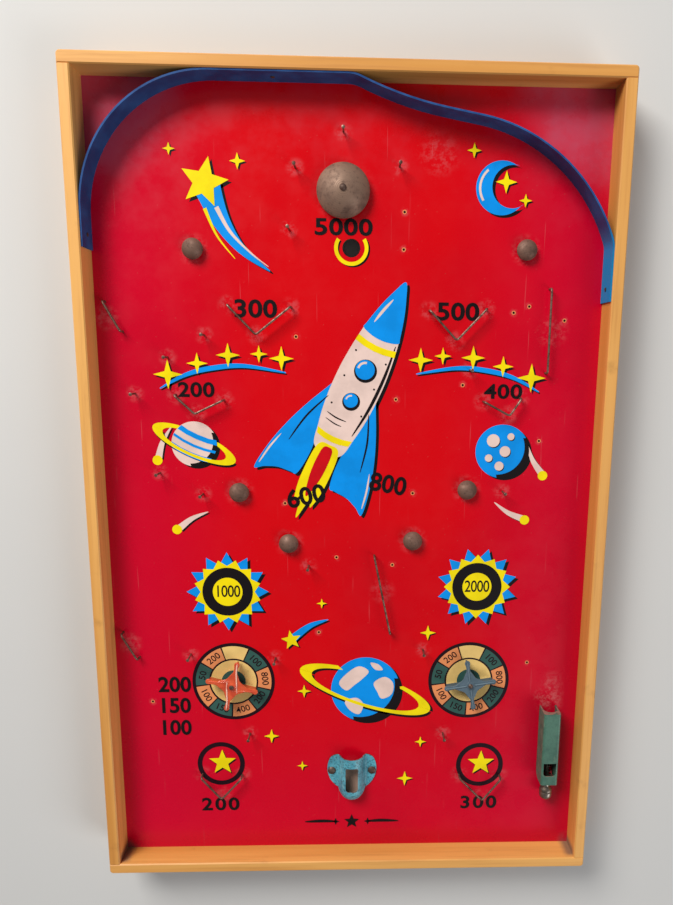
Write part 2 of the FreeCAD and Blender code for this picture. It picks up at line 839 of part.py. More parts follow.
def launcher_housing():
    """The folded housing: arched mouth, loading window, rod hole, clenched tabs."""
    shell = housing_shell(0.0, face_z).cut(housing_shell(housing_sheet, face_z - 1))
    arch_radius = mouth_width / 2
    arch_z = face_z + mouth_height - arch_radius
    front = housing_mouth_y - 2 * housing_sheet
    mouth = rod(housing_x, arch_z, front, housing_mouth_y + 1, arch_radius)
    mouth = mouth.fuse(
        block(
            (housing_x - arch_radius, front, face_z - 1),
            (housing_x + arch_radius, housing_mouth_y + 1, arch_z),
        )
    )
    window_y = housing_mouth_y - window_from_mouth
    window = block(
        (housing_x - window_width / 2, window_y - window_length, face_z + housing_height - 2),
        (housing_x + window_width / 2, window_y, face_z + housing_height + 2),
    )
    lower_corners = [
        edge
        for edge in window.Edges
        if is_upright(edge) and edge.CenterOfMass.y < window_y - window_length / 2
    ]
    window = window.makeFillet(window_corner, lower_corners)
    rod_hole = rod(
        housing_x,
        plunger_z,
        housing_back_y - 1,
        housing_back_y + 2,
        rod_diameter / 2 + running_fit,
    )
    heel_end_y = housing_back_y + housing_heel_radius
    heel = block(
        (housing_x - housing_width, housing_back_y - 1, face_z - 1),
        (housing_x + housing_width, heel_end_y, face_z + housing_heel_radius),
    )
    heel = heel.cut(
        Part.makeCylinder(
            housing_heel_radius,
            2 * housing_width,
            Vec(housing_x - housing_width, heel_end_y, face_z + housing_heel_radius),
            Vec(1, 0, 0),
        )
    )
    side_only = block(
        (housing_x - housing_width / 2 + housing_sheet, housing_back_y - 2, face_z - 2),
        (housing_x + housing_width / 2 - housing_sheet, heel_end_y, face_z + housing_height),
    )
    shell = shell.cut([mouth, window, rod_hole, heel.cut(side_only)])
    for tab in tab_blocks(0.0):
        box = tab.BoundBox
        outward = 1 if box.Center.x > housing_x else -1
        fold = block(
            (min(box.XMin, box.XMin + outward * tab_bent_length), box.YMin, box.ZMin),
            (max(box.XMax, box.XMax + outward * tab_bent_length), box.YMax, box.ZMin + housing_sheet),
        )
        keep_x = box.XMin if outward > 0 else box.XMax
        trim = block(
            (min(keep_x, keep_x - outward * housing_width), box.YMin - 1, box.ZMin - 1),
            (max(keep_x, keep_x - outward * housing_width), box.YMax + 1, box.ZMin + housing_sheet),
        )
        shell = shell.fuse(tab).fuse(fold.cut(trim))
    return shell.removeSplitter()


def plunger_hammer():
    """The block that strikes the ball, guided by the housing's sides."""
    back = Vec(housing_x, hammer_back_y, plunger_z)
    levels = [
        (hammer_radius, 0.0),
        (hammer_radius, hammer_length - hammer_chamfer),
        (hammer_radius - hammer_chamfer, hammer_length),
    ]
    socket_end_y = hammer_back_y + hammer_socket_depth
    socket = rod(housing_x, plunger_z, hammer_back_y - 1, socket_end_y, rod_diameter / 2 + nail_fit)
    return stack(back, UP_THE_BOARD, levels, turned_sides).cut(socket)


def plunger_rod():
    low_y = knob_front_y - knob_socket_depth
    high_y = hammer_back_y + hammer_socket_depth - nail_fit
    return rod(housing_x, plunger_z, low_y, high_y, rod_diameter / 2)


def plunger_knob():
    """The pull knob: a turned neck that flares into a grip with a bevelled end."""
    neck = knob_neck_diameter / 2
    grip = knob_diameter / 2
    length = knob_front_y - knob_back_y
    front = Vec(housing_x, knob_front_y, plunger_z)
    away = UP_THE_BOARD * -1
    levels = [
        (neck, 0.0),
        (neck, knob_neck_length),
        (grip, knob_neck_length + (grip - neck) / 2),
        (grip, length - knob_bevel),
        (grip - knob_bevel, length),
    ]
    socket_y = knob_front_y - knob_socket_depth - nail_fit
    socket = rod(housing_x, plunger_z, socket_y, knob_front_y + 1, rod_diameter / 2 + nail_fit)
    return stack(front, away, levels, turned_sides).cut(socket)


def tangent_arc(start, corner, end):
    """The arc that touches the lines start-corner and corner-end at start and end."""
    middle_chord = (start + end) * 0.5
    half_chord = (end - start).Length / 2
    rise = corner - middle_chord
    angle = math.atan2(rise.Length, half_chord)
    return arc(start, middle_chord + rise.normalize() * (half_chord * math.tan(angle / 2)), end)


def biarc(start, start_way, end, end_way):
    """Two arcs that leave start and reach end along the given directions."""
    span = end - start
    both = start_way + end_way
    spread = 2 * (1 - start_way.dot(end_way))
    lean = span.dot(both)
    reach = (-lean + math.sqrt(lean**2 + spread * span.dot(span))) / spread
    first = start + start_way * reach
    second = end - end_way * reach
    meet = (first + second) * 0.5
    return [tangent_arc(start, first, meet), tangent_arc(meet, second, end)]


def spring_points():
    """Points and directions along the spring, half a turn apart, with its ends."""
    radius = spring_mean_diameter / 2
    low_y = housing_back_y + housing_sheet
    high_y = hammer_back_y - spring_end_gap
    first_y = low_y + spring_wire + spring_lead_rise
    last_y = high_y - spring_wire - spring_lead_rise
    half_turns = 2 * spring_turns
    rise = (last_y - first_y) / half_turns
    stations = []

    def on_coil(angle, y):
        return Vec(housing_x + radius * math.cos(angle), y, plunger_z + radius * math.sin(angle))

    lead_in = on_coil(-spring_lead_angle, low_y)
    stations.append((lead_in, UP_THE_BOARD))
    stations.append((lead_in + UP_THE_BOARD * spring_wire, UP_THE_BOARD))
    for index in range(half_turns + 1):
        angle = index * math.pi
        way = Vec(-radius * math.sin(angle), rise / math.pi, radius * math.cos(angle)).normalize()
        stations.append((on_coil(angle, first_y + index * rise), way))
    lead_out = on_coil(half_turns * math.pi + spring_lead_angle, high_y)
    stations.append((lead_out - UP_THE_BOARD * spring_wire, UP_THE_BOARD))
    stations.append((lead_out, UP_THE_BOARD))
    return stations, rise * 2


def plunger_spring():
    """The launcher's compression spring, one unbroken wire."""
    stations, pitch = spring_points()
    edges = [line(stations[0][0], stations[1][0])]
    for (start, start_way), (end, end_way) in zip(stations[1:-2], stations[2:-1]):
        edges += biarc(start, start_way, end, end_way)
    edges.append(line(stations[-2][0], stations[-1][0]))
    path = Part.Wire(edges)
    print("spring: least gap between turns %.2f mm" % least_gap(path, pitch))
    section = Part.makePolygon(ring(stations[0][0], UP_THE_BOARD, spring_wire / 2, spring_wire_sides))
    return path.makePipeShell([section], True, False)


def least_gap(path, pitch):
    """The least gap of the spring's wire to itself, measured on points along it."""
    points = path.discretize(Distance=spring_wire / 2)
    apart = int(math.pi * spring_mean_diameter / spring_wire)
    least = pitch
    for index, point in enumerate(points):
        for other in points[index + apart : index + 4 * apart]:
            least = min(least, (other - point).Length)
    return least - spring_wire


def spinner_parts():
    turns = {"left": spinner_left_turn, "right": spinner_right_turn}
    shapes = {}
    for side, place in pivot_places().items():
        shapes["spinner_" + side] = spinner(place, turns[side])
        shapes["spinner_%s_pivot" % side] = spinner_pivot(place)
        shapes["spinner_%s_washer" % side] = spinner_washer(place)
    return shapes


def wire_parts():
    shapes = {}
    for number, points in enumerate(pocket_places(), start=1):
        shapes["pocket_wire_%d" % number] = standing_wire(points)
    for name, points in guide_places().items():
        shapes[name] = standing_wire(points)
    return shapes


def all_parts():
    """Every node's shape by its name; a list is a group of like solids."""
    shapes = rails()
    shapes["playfield"] = playfield()
    shapes["corner_nails"] = corner_nails()
    shapes["arch_strip"] = arch_strip()
    shapes["strip_nails"] = strip_nails()
    shapes["gong"], shapes["gong_spacer"], shapes["gong_nail"] = gong_parts()
    for number, place in enumerate(stud_places(), start=1):
        shapes["dome_stud_%d" % number] = dome_stud(place)
    shapes["pins"] = [pin(place) for place in pin_places()]
    shapes.update(wire_parts())
    shapes.update(spinner_parts())
    shapes["return_hood"] = return_hood()
    shapes["return_hood_nails"] = hood_nails()
    shapes["launcher_housing"] = launcher_housing()
    shapes["plunger_hammer"] = plunger_hammer()
    shapes["plunger_rod"] = plunger_rod()
    shapes["plunger_knob"] = plunger_knob()
    shapes["plunger_spring"] = plunger_spring()
    return shapes


def export(shapes):
    """Write one file per node, after checking that each piece is a closed solid."""
    os.makedirs("parts", exist_ok=True)
    for name, shape in shapes.items():
        pieces = shape if isinstance(shape, list) else [shape]
        solids = [solid for piece in pieces for solid in piece.Solids]
        if len(solids) != len(pieces) or not all(solid.isValid() for solid in solids):
            raise ValueError("%s has %d solids for %d pieces" % (name, len(solids), len(pieces)))
        whole = solids[0] if len(solids) == 1 else Part.makeCompound(solids)
        whole.exportStep("parts/%s.step" % name)


export(all_parts())
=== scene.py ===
import math
import bmesh
import bpy
from mathutils import Matrix, Vector


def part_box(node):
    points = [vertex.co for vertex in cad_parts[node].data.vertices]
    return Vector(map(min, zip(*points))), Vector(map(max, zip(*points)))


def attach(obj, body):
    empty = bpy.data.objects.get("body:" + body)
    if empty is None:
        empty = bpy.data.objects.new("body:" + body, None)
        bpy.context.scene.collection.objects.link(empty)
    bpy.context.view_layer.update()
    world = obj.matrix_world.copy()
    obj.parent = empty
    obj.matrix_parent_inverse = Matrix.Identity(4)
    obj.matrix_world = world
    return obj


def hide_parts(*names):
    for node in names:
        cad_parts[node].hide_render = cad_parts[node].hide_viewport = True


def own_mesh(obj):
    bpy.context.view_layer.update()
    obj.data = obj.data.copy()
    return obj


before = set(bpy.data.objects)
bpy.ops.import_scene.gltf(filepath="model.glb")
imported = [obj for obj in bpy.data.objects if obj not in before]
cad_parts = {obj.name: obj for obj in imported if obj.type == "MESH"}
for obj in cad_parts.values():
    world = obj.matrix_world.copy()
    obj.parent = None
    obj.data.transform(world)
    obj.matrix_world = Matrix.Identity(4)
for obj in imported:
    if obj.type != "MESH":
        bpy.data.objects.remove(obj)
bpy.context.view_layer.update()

MM = 0.001
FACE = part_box("playfield")[1].z / MM
RAIL_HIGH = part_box("rail_top")[1].z / MM
LEFT_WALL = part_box("rail_left")[1].x / MM
RIGHT_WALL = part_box("rail_right")[0].x / MM
TOP_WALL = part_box("rail_top")[0].y / MM
BOTTOM_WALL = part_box("rail_bottom")[1].y / MM
CABINET = "cabinet"


# Colours and materials

def colour(red, green, blue):
    """A colour written in screen values from 0 to 255, as linear light."""
    parts = []
    for value in (red, green, blue):
        share = value / 255
        parts.append(share / 12.92 if share <= 0.04045 else ((share + 0.055) / 1.055) ** 2.4)
    return (*parts, 1.0)


def toned(base, factor, lift=0.0):
    """A colour made darker by a factor and lifted toward white."""
    return tuple(value * factor + lift for value in base[:3]) + (1.0,)


class Surface:
    """A node material that is built one layer at a time."""

    def __init__(self, name, base, roughness=0.5, metallic=0.0, coat=0.0, coat_roughness=0.1, shine=0.5):
        self.material = bpy.data.materials.new(name)
        self.material.use_nodes = True
        self.material.diffuse_color = base
        self.tree = self.material.node_tree
        self.shader = self.tree.nodes["Principled BSDF"]
        values = {
            "Base Color": base,
            "Roughness": roughness,
            "Metallic": metallic,
            "Specular IOR Level": shine,
            "Coat Weight": coat,
            "Coat Roughness": coat_roughness,
        }
        for key, value in values.items():
            self.shader.inputs[key].default_value = value
        self.tone = base
        self.place = self.node("ShaderNodeTexCoord", "Object", {})

    def feed(self, socket, value):
        """Join an output to a socket, or set the socket's own value."""
        if hasattr(value, "is_output") and value.is_output:
            self.tree.links.new(value, socket)
        else:
            socket.default_value = value

    def node(self, kind, output, inputs, **settings):
        """Add a node, feed its inputs and hand back one of its outputs."""
        added = self.tree.nodes.new(kind)
        for key, value in settings.items():
            setattr(added, key, value)
        for key, value in inputs.items():
            self.feed(added.inputs[key], value)
        return added.outputs[output]

    def stretched(self, scale, turn=(0.0, 0.0, 0.0)):
        inputs = {"Vector": self.place, "Scale": scale, "Rotation": turn}
        return self.node("ShaderNodeMapping", "Vector", inputs)

    def noise(self, scale, detail=3.0, roughness=0.5, place=None, distortion=0.0):
        inputs = {"Vector": place or self.place, "Scale": scale, "Detail": detail, "Roughness": roughness}
        inputs["Distortion"] = distortion
        return self.node("ShaderNodeTexNoise", "Fac", inputs)

    def cells(self, scale, place=None):
        return self.node("ShaderNodeTexVoronoi", "Distance", {"Vector": place or self.place, "Scale": scale})

    def ramp(self, value, low, high, start=0.0, end=1.0):
        """The value carried from low..high to start..end, smoothly and held at both ends."""
        inputs = {"Value": value, "From Min": low, "From Max": high, "To Min": start, "To Max": end}
        return self.node("ShaderNodeMapRange", "Result", inputs, interpolation_type="SMOOTHSTEP")

    def maths(self, operation, *values):
        return self.node("ShaderNodeMath", "Value", dict(enumerate(values)), operation=operation)

    def times(self, first, second):
        return self.maths("MULTIPLY", first, second)

    def blend(self, share, first, second):
        inputs = {"Factor": share, "A": first, "B": second}
        return self.node("ShaderNodeMix", "Result", inputs, data_type="RGBA", blend_type="MIX")

    def axis(self, which, place=None):
        return self.node("ShaderNodeSeparateXYZ", "XYZ".index(which), {0: place or self.place})

    def normal_axis(self, which):
        return self.axis(which, self.node("ShaderNodeNewGeometry", "True Normal", {}))

    def distance(self, x, y):
        """Distance across the board from a place in millimetres, in metres."""
        across_board = {0: self.place, 1: (1.0, 1.0, 0.0)}
        flat = self.node("ShaderNodeVectorMath", 0, across_board, operation="MULTIPLY")
        ends = {0: flat, 1: (x * MM, y * MM, 0.0)}
        return self.node("ShaderNodeVectorMath", "Value", ends, operation="DISTANCE")

    def cover(self, share, over):
        """Lay a colour over the paint so far, by a share."""
        self.tone = self.blend(share, self.tone, over)
        self.feed(self.shader.inputs["Base Color"], self.tone)

    def gloss(self, value):
        self.feed(self.shader.inputs["Roughness"], value)

    def bump(self, height, depth, strength=1.0):
        normal = self.shader.inputs["Normal"]
        inputs = {"Strength": strength, "Distance": depth, "Height": height}
        if normal.is_linked:
            inputs["Normal"] = normal.links[0].from_socket
        self.feed(normal, self.node("ShaderNodeBump", "Normal", inputs))


def rail_wood(name, along):
    """Varnished beech, its grain along the rail."""
    wood = Surface(name, colour(214, 152, 78), roughness=0.45, coat=0.12, coat_roughness=0.3, shine=0.3)
    along_x = along == "X"
    stretch = (9.0, 260.0, 260.0) if along_x else (260.0, 9.0, 260.0)
    fibre = wood.noise(1.0, 6.0, 0.62, wood.stretched(stretch))
    wide_stretch = tuple(value * 0.16 for value in stretch)
    figure = wood.noise(1.0, 3.0, 0.5, wood.stretched(wide_stretch), distortion=0.4)
    fleck = wood.cells(1.0, wood.stretched((60, 900, 900) if along_x else (900, 60, 900)))
    wood.tone = wood.blend(wood.ramp(figure, 0.32, 0.68), colour(208, 142, 68), colour(236, 176, 98))
    wood.cover(wood.ramp(fibre, 0.45, 0.75, 0.0, 0.45), colour(178, 112, 52))
    wood.cover(wood.ramp(fleck, 0.06, 0.0, 0.0, 0.35), colour(150, 88, 40))
    wood.cover(wood.ramp(wood.noise(38.0, 4.0, 0.6), 0.62, 0.8, 0.0, 0.35), colour(128, 78, 38))
    below = wood.ramp(wood.axis("Z"), (RAIL_HIGH - 0.6) * MM, (RAIL_HIGH - 6.0) * MM, 0.0, 0.8)
    for side_x in (LEFT_WALL, RIGHT_WALL):
        dust = wood.ramp(wood.distance(side_x, BOTTOM_WALL), 9 * MM, 2 * MM)
        wood.cover(wood.times(dust, below), colour(112, 92, 84))
    wood.gloss(wood.ramp(fibre, 0.3, 0.7, 0.36, 0.55))
    wood.bump(fibre, 0.00006)
    wood.bump(wood.noise(90.0, 3.0), 0.00008)
    return wood.material


def metal(name, base, tint, roughness, scale=160.0, metallic=0.85, spots=None, spotted=0.85, turned=None):
    """Handled metal: cloudy tint, small pits and, if asked, darker spots or turning marks."""
    steel = Surface(name, base, roughness=roughness, metallic=metallic, shine=0.35)
    cloud = steel.noise(scale, 5.0, 0.6)
    steel.cover(steel.ramp(cloud, 0.38, 0.66), tint)
    if spots:
        steel.cover(steel.ramp(steel.noise(scale * 4, 3.0, 0.7), 0.56, 0.66, 0.0, spotted), spots)
    steel.gloss(steel.ramp(cloud, 0.3, 0.7, roughness * 0.8, min(1.0, roughness * 1.35)))
    steel.bump(steel.noise(scale * 6, 3.0), 0.00003)
    if turned:
        radians_per_metre = 5200.0
        steel.bump(steel.maths("SINE", steel.times(steel.distance(*turned), radians_per_metre)), 0.00002)
    return steel.material


def enamel(name, base, shade, chip, scale, chip_level, rim, speck, speck_share):
    """Old enamel on sheet metal: cloudy paint, worn patches, dark specks and bare edges."""
    paint = Surface(name, base, roughness=0.45, coat=0.12, coat_roughness=0.3, shine=0.35)
    paint.cover(paint.ramp(paint.noise(scale, 5.0, 0.6), 0.35, 0.66), shade)
    streak = paint.noise(1.0, 4.0, 0.6, paint.stretched((scale * 5, scale * 1.2, scale * 5)))
    paint.cover(paint.ramp(streak, 0.56, 0.78, 0.0, 0.4), chip)
    wear = paint.noise(scale * 3.2, 6.0, 0.7)
    paint.cover(paint.ramp(wear, chip_level, chip_level + 0.05), chip)
    paint.cover(paint.ramp(paint.noise(scale * 7, 3.0, 0.6), 0.53, 0.61, 0.0, speck_share), speck)
    facing = paint.ramp(paint.normal_axis("Y"), 0.7, 0.95)
    paint.cover(paint.times(facing, paint.ramp(wear, 0.4, 0.5)), rim)
    # Painted shade and rust: the lowest 0.7 mm of the sheet, where it meets the board, turns dark brown.
    foot = paint.ramp(paint.axis("Z"), (FACE + 0.7) * MM, (FACE + 0.4) * MM, 0.0, 0.8)
    paint.cover(foot, colour(74, 52, 46))
    paint.gloss(paint.ramp(wear, 0.4, 0.7, 0.38, 0.62))
    paint.bump(wear, 0.00008)
    return paint.material


def ink(name, base):
    """Screen-printed ink, a little uneven, with fine scratches."""
    film = Surface(name, base, roughness=0.38, coat=0.08, coat_roughness=0.15, shine=0.2)
    film.cover(film.ramp(film.noise(55.0, 4.0, 0.6), 0.35, 0.7), toned(base, 0.84))
    rub = film.noise(420.0, 5.0, 0.75)
    film.cover(film.ramp(rub, 0.68, 0.76, 0.0, 0.5), toned(base, 0.6, 0.12))
    film.bump(rub, 0.00002)
    return film.material


def board_paint(halo_places):
    """The board: red lacquer on top with painted sheen towards the top corners and rubbed halos, bare panel
    elsewhere.
    """
    board = Surface("board_red", colour(204, 0, 18), roughness=0.34, coat=0.1, coat_roughness=0.12, shine=0.2)
    y = board.axis("Y")
    side = board.maths("ABSOLUTE", board.axis("X"))
    fine = board.noise(46.0, 5.0, 0.6)
    board.tone = board.blend(board.ramp(side, 0.055, 0.175), colour(212, 0, 12), colour(202, 0, 40))
    board.cover(board.times(board.ramp(y, -0.12, -0.28), 0.55), colour(202, 0, 48))
    board.cover(board.ramp(board.noise(7.0, 3.0, 0.5), 0.45, 0.72, 0.0, 0.3), colour(176, 0, 26))
    # Painted sheen: a faint pink glow along both sides of the top of the board.
    film = board.times(board.ramp(y, 0.16, 0.28), board.ramp(side, 0.08, 0.17))
    board.cover(board.times(film, board.ramp(fine, 0.35, 0.7, 0.0, 0.3)), colour(190, 60, 84))
    for corner_x in (LEFT_WALL, RIGHT_WALL):
        # Painted sheen: a pale pink glow on the lacquer near each top corner.
        corner_sheen = board.ramp(board.distance(corner_x, TOP_WALL), 74 * MM, 44 * MM, 0.0, 0.75)
        board.cover(board.times(corner_sheen, board.ramp(fine, 0.3, 0.7, 0.5, 1.0)), colour(188, 78, 102))
        dust = board.ramp(board.distance(corner_x, BOTTOM_WALL), 12 * MM, 2 * MM, 0.0, 0.8)
        board.cover(board.times(dust, board.ramp(fine, 0.35, 0.6)), colour(120, 84, 84))
    # Dust and painted sheen: a faint pink band across the top of the board.
    top_dust_and_sheen = board.times(board.ramp(y, 0.2, 0.285), board.ramp(fine, 0.35, 0.7))
    board.cover(board.times(top_dust_and_sheen, 0.14), colour(172, 60, 80))
    rub = board.noise(230.0, 6.0, 0.72)
    for place_x, place_y, reach, strength in halo_places:
        halo = board.ramp(board.distance(place_x, place_y), reach * MM, reach * 0.35 * MM)
        board.cover(board.times(halo, board.ramp(rub, 0.42, 0.62, 0.0, strength)), colour(204, 92, 96))
    scratch = board.noise(1.0, 2.0, 0.5, board.stretched((620.0, 14.0, 1.0), (0.0, 0.0, 0.5)))
    board.cover(board.ramp(scratch, 0.71, 0.75, 0.0, 0.3), colour(206, 96, 100))
    board.cover(board.ramp(board.cells(210.0), 0.045, 0.02, 0.0, 0.6), colour(216, 130, 120))
    bare_panel = board.blend(fine, colour(168, 124, 104), colour(218, 180, 158))
    for bare_y in BARE_PATCH_Y:
        board.cover(board.ramp(board.distance(BARE_PATCH_X, bare_y), 8.0 * MM, 7.0 * MM), bare_panel)
    panel_grain = board.noise(300.0, 5.0, 0.6, board.stretched((1.0, 0.08, 1.0)))
    panel = board.blend(panel_grain, colour(92, 64, 42), colour(136, 100, 66))
    lacquer, board.tone = board.tone, panel
    board.cover(board.ramp(board.normal_axis("Z"), 0.6, 0.9), lacquer)
    board.gloss(board.ramp(fine, 0.3, 0.75, 0.22, 0.42))
    board.bump(board.noise(26.0, 2.0), 0.00025, 0.5)
    board.bump(rub, 0.00002)
    return board.material


# Shapes

def linked(name, data):
    """A new object, put into the scene."""
    piece = bpy.data.objects.new(name, data)
    bpy.context.scene.collection.objects.link(piece)
    return piece


def new_object(name, mesh, material, body=CABINET):
    """A shown piece with its material and the body that it rides on."""
    piece = linked(name, mesh)
    mesh.materials.append(material)
    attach(piece, body)
    return piece


def stand_in(name, node, mesh, material, body=CABINET):
    """A finer mesh that is shown in the place of a CAD node."""
    piece = new_object(name, mesh, material, body)
    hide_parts(node)
    return piece


def mesh_from(name, vertices, faces, smooth=True):
    mesh = bpy.data.meshes.new(name)
    mesh.from_pydata([Vector(point) * MM for point in vertices], [], faces)
    mesh.validate()
    mesh.update()
    for polygon in mesh.polygons:
        polygon.use_smooth = smooth
    return mesh


def sharpen(mesh, degrees=35.0):
    """Keep the edges that turn by more than an angle crisp under smooth shading."""
    form = bmesh.new()
    form.from_mesh(mesh)
    bmesh.ops.remove_doubles(form, verts=form.verts, dist=1e-7)
    bmesh.ops.recalc_face_normals(form, faces=form.faces)
    limit = math.radians(degrees)
    for edge in form.edges:
        edge.smooth = not (edge.is_manifold and edge.calc_face_angle() > limit)
    form.to_mesh(mesh)
    form.free()
    return mesh


def lathe(name, profile, centre, steps=48, way="Z"):
    """A turned mesh: radius and height pairs round an axis through centre, all in millimetres."""
    vertices, faces, rings = [], [], []
    angles = [2 * math.pi * step / steps for step in range(steps)]
    for radius, along in profile:
        first = len(vertices)
        if radius < 1e-6:
            vertices.append((0.0, 0.0, along))
        else:
            vertices += [(radius * math.cos(angle), radius * math.sin(angle), along) for angle in angles]
        rings.append(range(first, len(vertices)))
    for lower, upper in zip(rings, rings[1:]):
        for step in range(steps):
            following = (step + 1) % steps
            if len(lower) == 1:
                faces.append((lower[0], upper[step], upper[following]))
            elif len(upper) == 1:
                faces.append((lower[step], lower[following], upper[0]))
            else:
                faces.append((lower[step], lower[following], upper[following], upper[step]))
    turn = Matrix.Identity(3)
    if way == "-Y":
        turn = Matrix(((1, 0, 0), (0, 0, -1), (0, 1, 0)))
    moved = [turn @ Vector(point) + Vector(centre) for point in vertices]
    return sharpen(mesh_from(name, moved, faces))


def dome(radius, rise, base, steps=9, start=0.0):
    """Profile points over a dome from its rim to its top, or to a start radius."""
    ball = (radius**2 + rise**2) / (2 * rise)
    wide = math.asin(min(1.0, radius / ball))
    narrow = math.asin(start / ball)
    points = []
    for step in range(steps + 1):
        angle = wide + (narrow - wide) * step / steps
        points.append((ball * math.sin(angle), base + rise - ball + ball * math.cos(angle)))
    return points


def rounded_route(points, radius, steps=6):
    """The points with each inner corner turned into an arc of the given radius."""
    route = [Vector(points[0])]
    for before, corner, after in zip(points, points[1:], points[2:]):
        before, corner, after = Vector(before), Vector(corner), Vector(after)
        back = (before - corner).normalized()
        ahead = (after - corner).normalized()
        half = back.angle(ahead) / 2
        reach = min(radius / math.tan(half), (before - corner).length * 0.45, (after - corner).length * 0.45)
        start, end = corner + back * reach, corner + ahead * reach
        for step in range(steps + 1):
            share = step / steps
            route.append(start * (1 - share) ** 2 + corner * 2 * share * (1 - share) + end * share**2)
    route.append(Vector(points[-1]))
    return route


def tube(name, route, radius, sides=12):
    """A round bar along a route in millimetres, closed at both ends."""
    vertices, faces = [], []
    previous = None
    for index, point in enumerate(route):
        before = route[max(0, index - 1)]
        after = route[min(len(route) - 1, index + 1)]
        way = (after - before).normalized()
        if previous is None:
            helper = Vector((1, 0, 0)) if abs(way.x) < 0.9 else Vector((0, 1, 0))
            across = way.cross(helper).normalized()
        else:
            across = (previous - way * previous.dot(way)).normalized()
        previous = across
        other = way.cross(across)
        for side in range(sides):
            angle = 2 * math.pi * side / sides
            vertices.append(point + across * radius * math.cos(angle) + other * radius * math.sin(angle))
    for index in range(len(route) - 1):
        for side in range(sides):
            a = index * sides + side
            b = index * sides + (side + 1) % sides
            faces.append((a, b, b + sides, a + sides))
    faces.append(tuple(reversed(range(sides))))
    faces.append(tuple(range((len(route) - 1) * sides, len(route) * sides)))
    return sharpen(mesh_from(name, vertices, faces), 50.0)


def joined(name, meshes):
    """One mesh out of several."""
    form = bmesh.new()
    for mesh in meshes:
        form.from_mesh(mesh)
        bpy.data.meshes.remove(mesh)
    whole = bpy.data.meshes.new(name)
    form.to_mesh(whole)
    form.free()
    return whole


def evaluated(piece):
    """The mesh of a curve, or of an object with its modifiers applied."""
    bpy.context.view_layer.update()
    return bpy.data.meshes.new_from_object(piece.evaluated_get(bpy.context.evaluated_depsgraph_get()))


def flat_curve(outlines):
    """A filled curve from closed outlines in millimetres."""
    curve = bpy.data.curves.new("outline", "CURVE")
    curve.dimensions = "2D"
    curve.fill_mode = "BOTH"
    for points in outlines:
        spline = curve.splines.new("POLY")
        spline.points.add(len(points) - 1)
        for target, (x, y) in zip(spline.points, points):
            target.co = (x * MM, y * MM, 0.0, 1.0)
        spline.use_cyclic_u = True
    return curve


def curve_mesh(curve, change):
    """A curve or text as a mesh, moved by a matrix. The curve is used up."""
    holder = linked("holder", curve)
    mesh = evaluated(holder)
    mesh.transform(change)
    bpy.data.objects.remove(holder)
    bpy.data.curves.remove(curve)
    return mesh


def soften(node, width):
    """Round the edges of a CAD node a little, as worn edges are."""
    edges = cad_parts[node].modifiers.new("worn_edges", "BEVEL")
    edges.width = width * MM
    edges.segments = 2
    edges.limit_method = "ANGLE"
    edges.angle_limit = math.radians(30)
    edges.harden_normals = False


def dress(node, material):
    """Give a CAD node its material."""
    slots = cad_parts[node].material_slots
    if len(slots) == 0:
        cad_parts[node].data.materials.append(material)
    for entry in slots:
        entry.material = material


# Camera, light and floor

PHOTO_HEIGHT = 905
FOCAL_PIXELS = 683.4
SHIFT_PIXELS = (45, 30)
CAMERA_PLACE = (0.00455, 0.1039, 0.5148)
CAMERA_TURN = (
    (0.99935, -0.00471, -0.0358),
    (0.01097, 0.9842, 0.17672),
    (0.0344, -0.177, 0.98361),
)


def make_camera():
    """The photograph's viewpoint, with the lens shifted off the middle of the frame."""
    lens = bpy.data.cameras.new("camera")
    lens.sensor_fit = "AUTO"
    lens.sensor_width = 36.0
    lens.lens = FOCAL_PIXELS * lens.sensor_width / PHOTO_HEIGHT
    lens.shift_x = -SHIFT_PIXELS[0] / PHOTO_HEIGHT
    lens.shift_y = SHIFT_PIXELS[1] / PHOTO_HEIGHT
    lens.clip_start = 0.01
    camera = linked("camera", lens)
    camera.matrix_world = Matrix.Translation(CAMERA_PLACE) @ Matrix(CAMERA_TURN).to_4x4()
    bpy.context.scene.camera = camera


def area_light(name, place, size, power, tint):
    """A rectangular lamp that points at the middle of the board."""
    lamp = bpy.data.lights.new(name, "AREA")
    lamp.shape = "RECTANGLE"
    lamp.size, lamp.size_y = size
    lamp.energy = power
    lamp.color = tint
    lamp_object = linked(name, lamp)
    lamp_object.location = place
    aim = -Vector(place)
    lamp_object.rotation_euler = aim.to_track_quat("-Z", "Y").to_euler()


def make_lights():
    world = bpy.data.worlds.new("studio")
    world.use_nodes = True
    background = world.node_tree.nodes["Background"]
    background.inputs["Color"].default_value = (0.93, 0.95, 1.0, 1.0)
    background.inputs["Strength"].default_value = 0.2
    bpy.context.scene.world = world
    area_light("window", (-1.0, 1.5, 1.25), (1.1, 0.8), 55.0, (1.0, 0.98, 0.95))
    area_light("fill", (1.7, -1.2, 1.5), (1.2, 1.2), 23.0, (0.97, 0.98, 1.0))


def make_floor():
    size = 3.0
    mesh = bpy.data.meshes.new("floor")
    corners = [(-size, -size, 0), (size, -size, 0), (size, size, 0), (-size, size, 0)]
    mesh.from_pydata(corners, [], [(0, 1, 2, 3)])
    floor = linked("floor", mesh)
    floor.location.z = -0.0002
    surface = Surface("floor_paper", colour(208, 207, 204), roughness=0.85)
    surface.tone = colour(204, 203, 200)
    surface.cover(surface.noise(3.0, 3.0), colour(213, 212, 209))
    mesh.materials.append(surface.material)


bpy.context.scene.view_settings.view_transform = "Standard"
make_camera()
make_lights()
make_floor()


# Places on the board, in millimetres from its middle, as the model has them

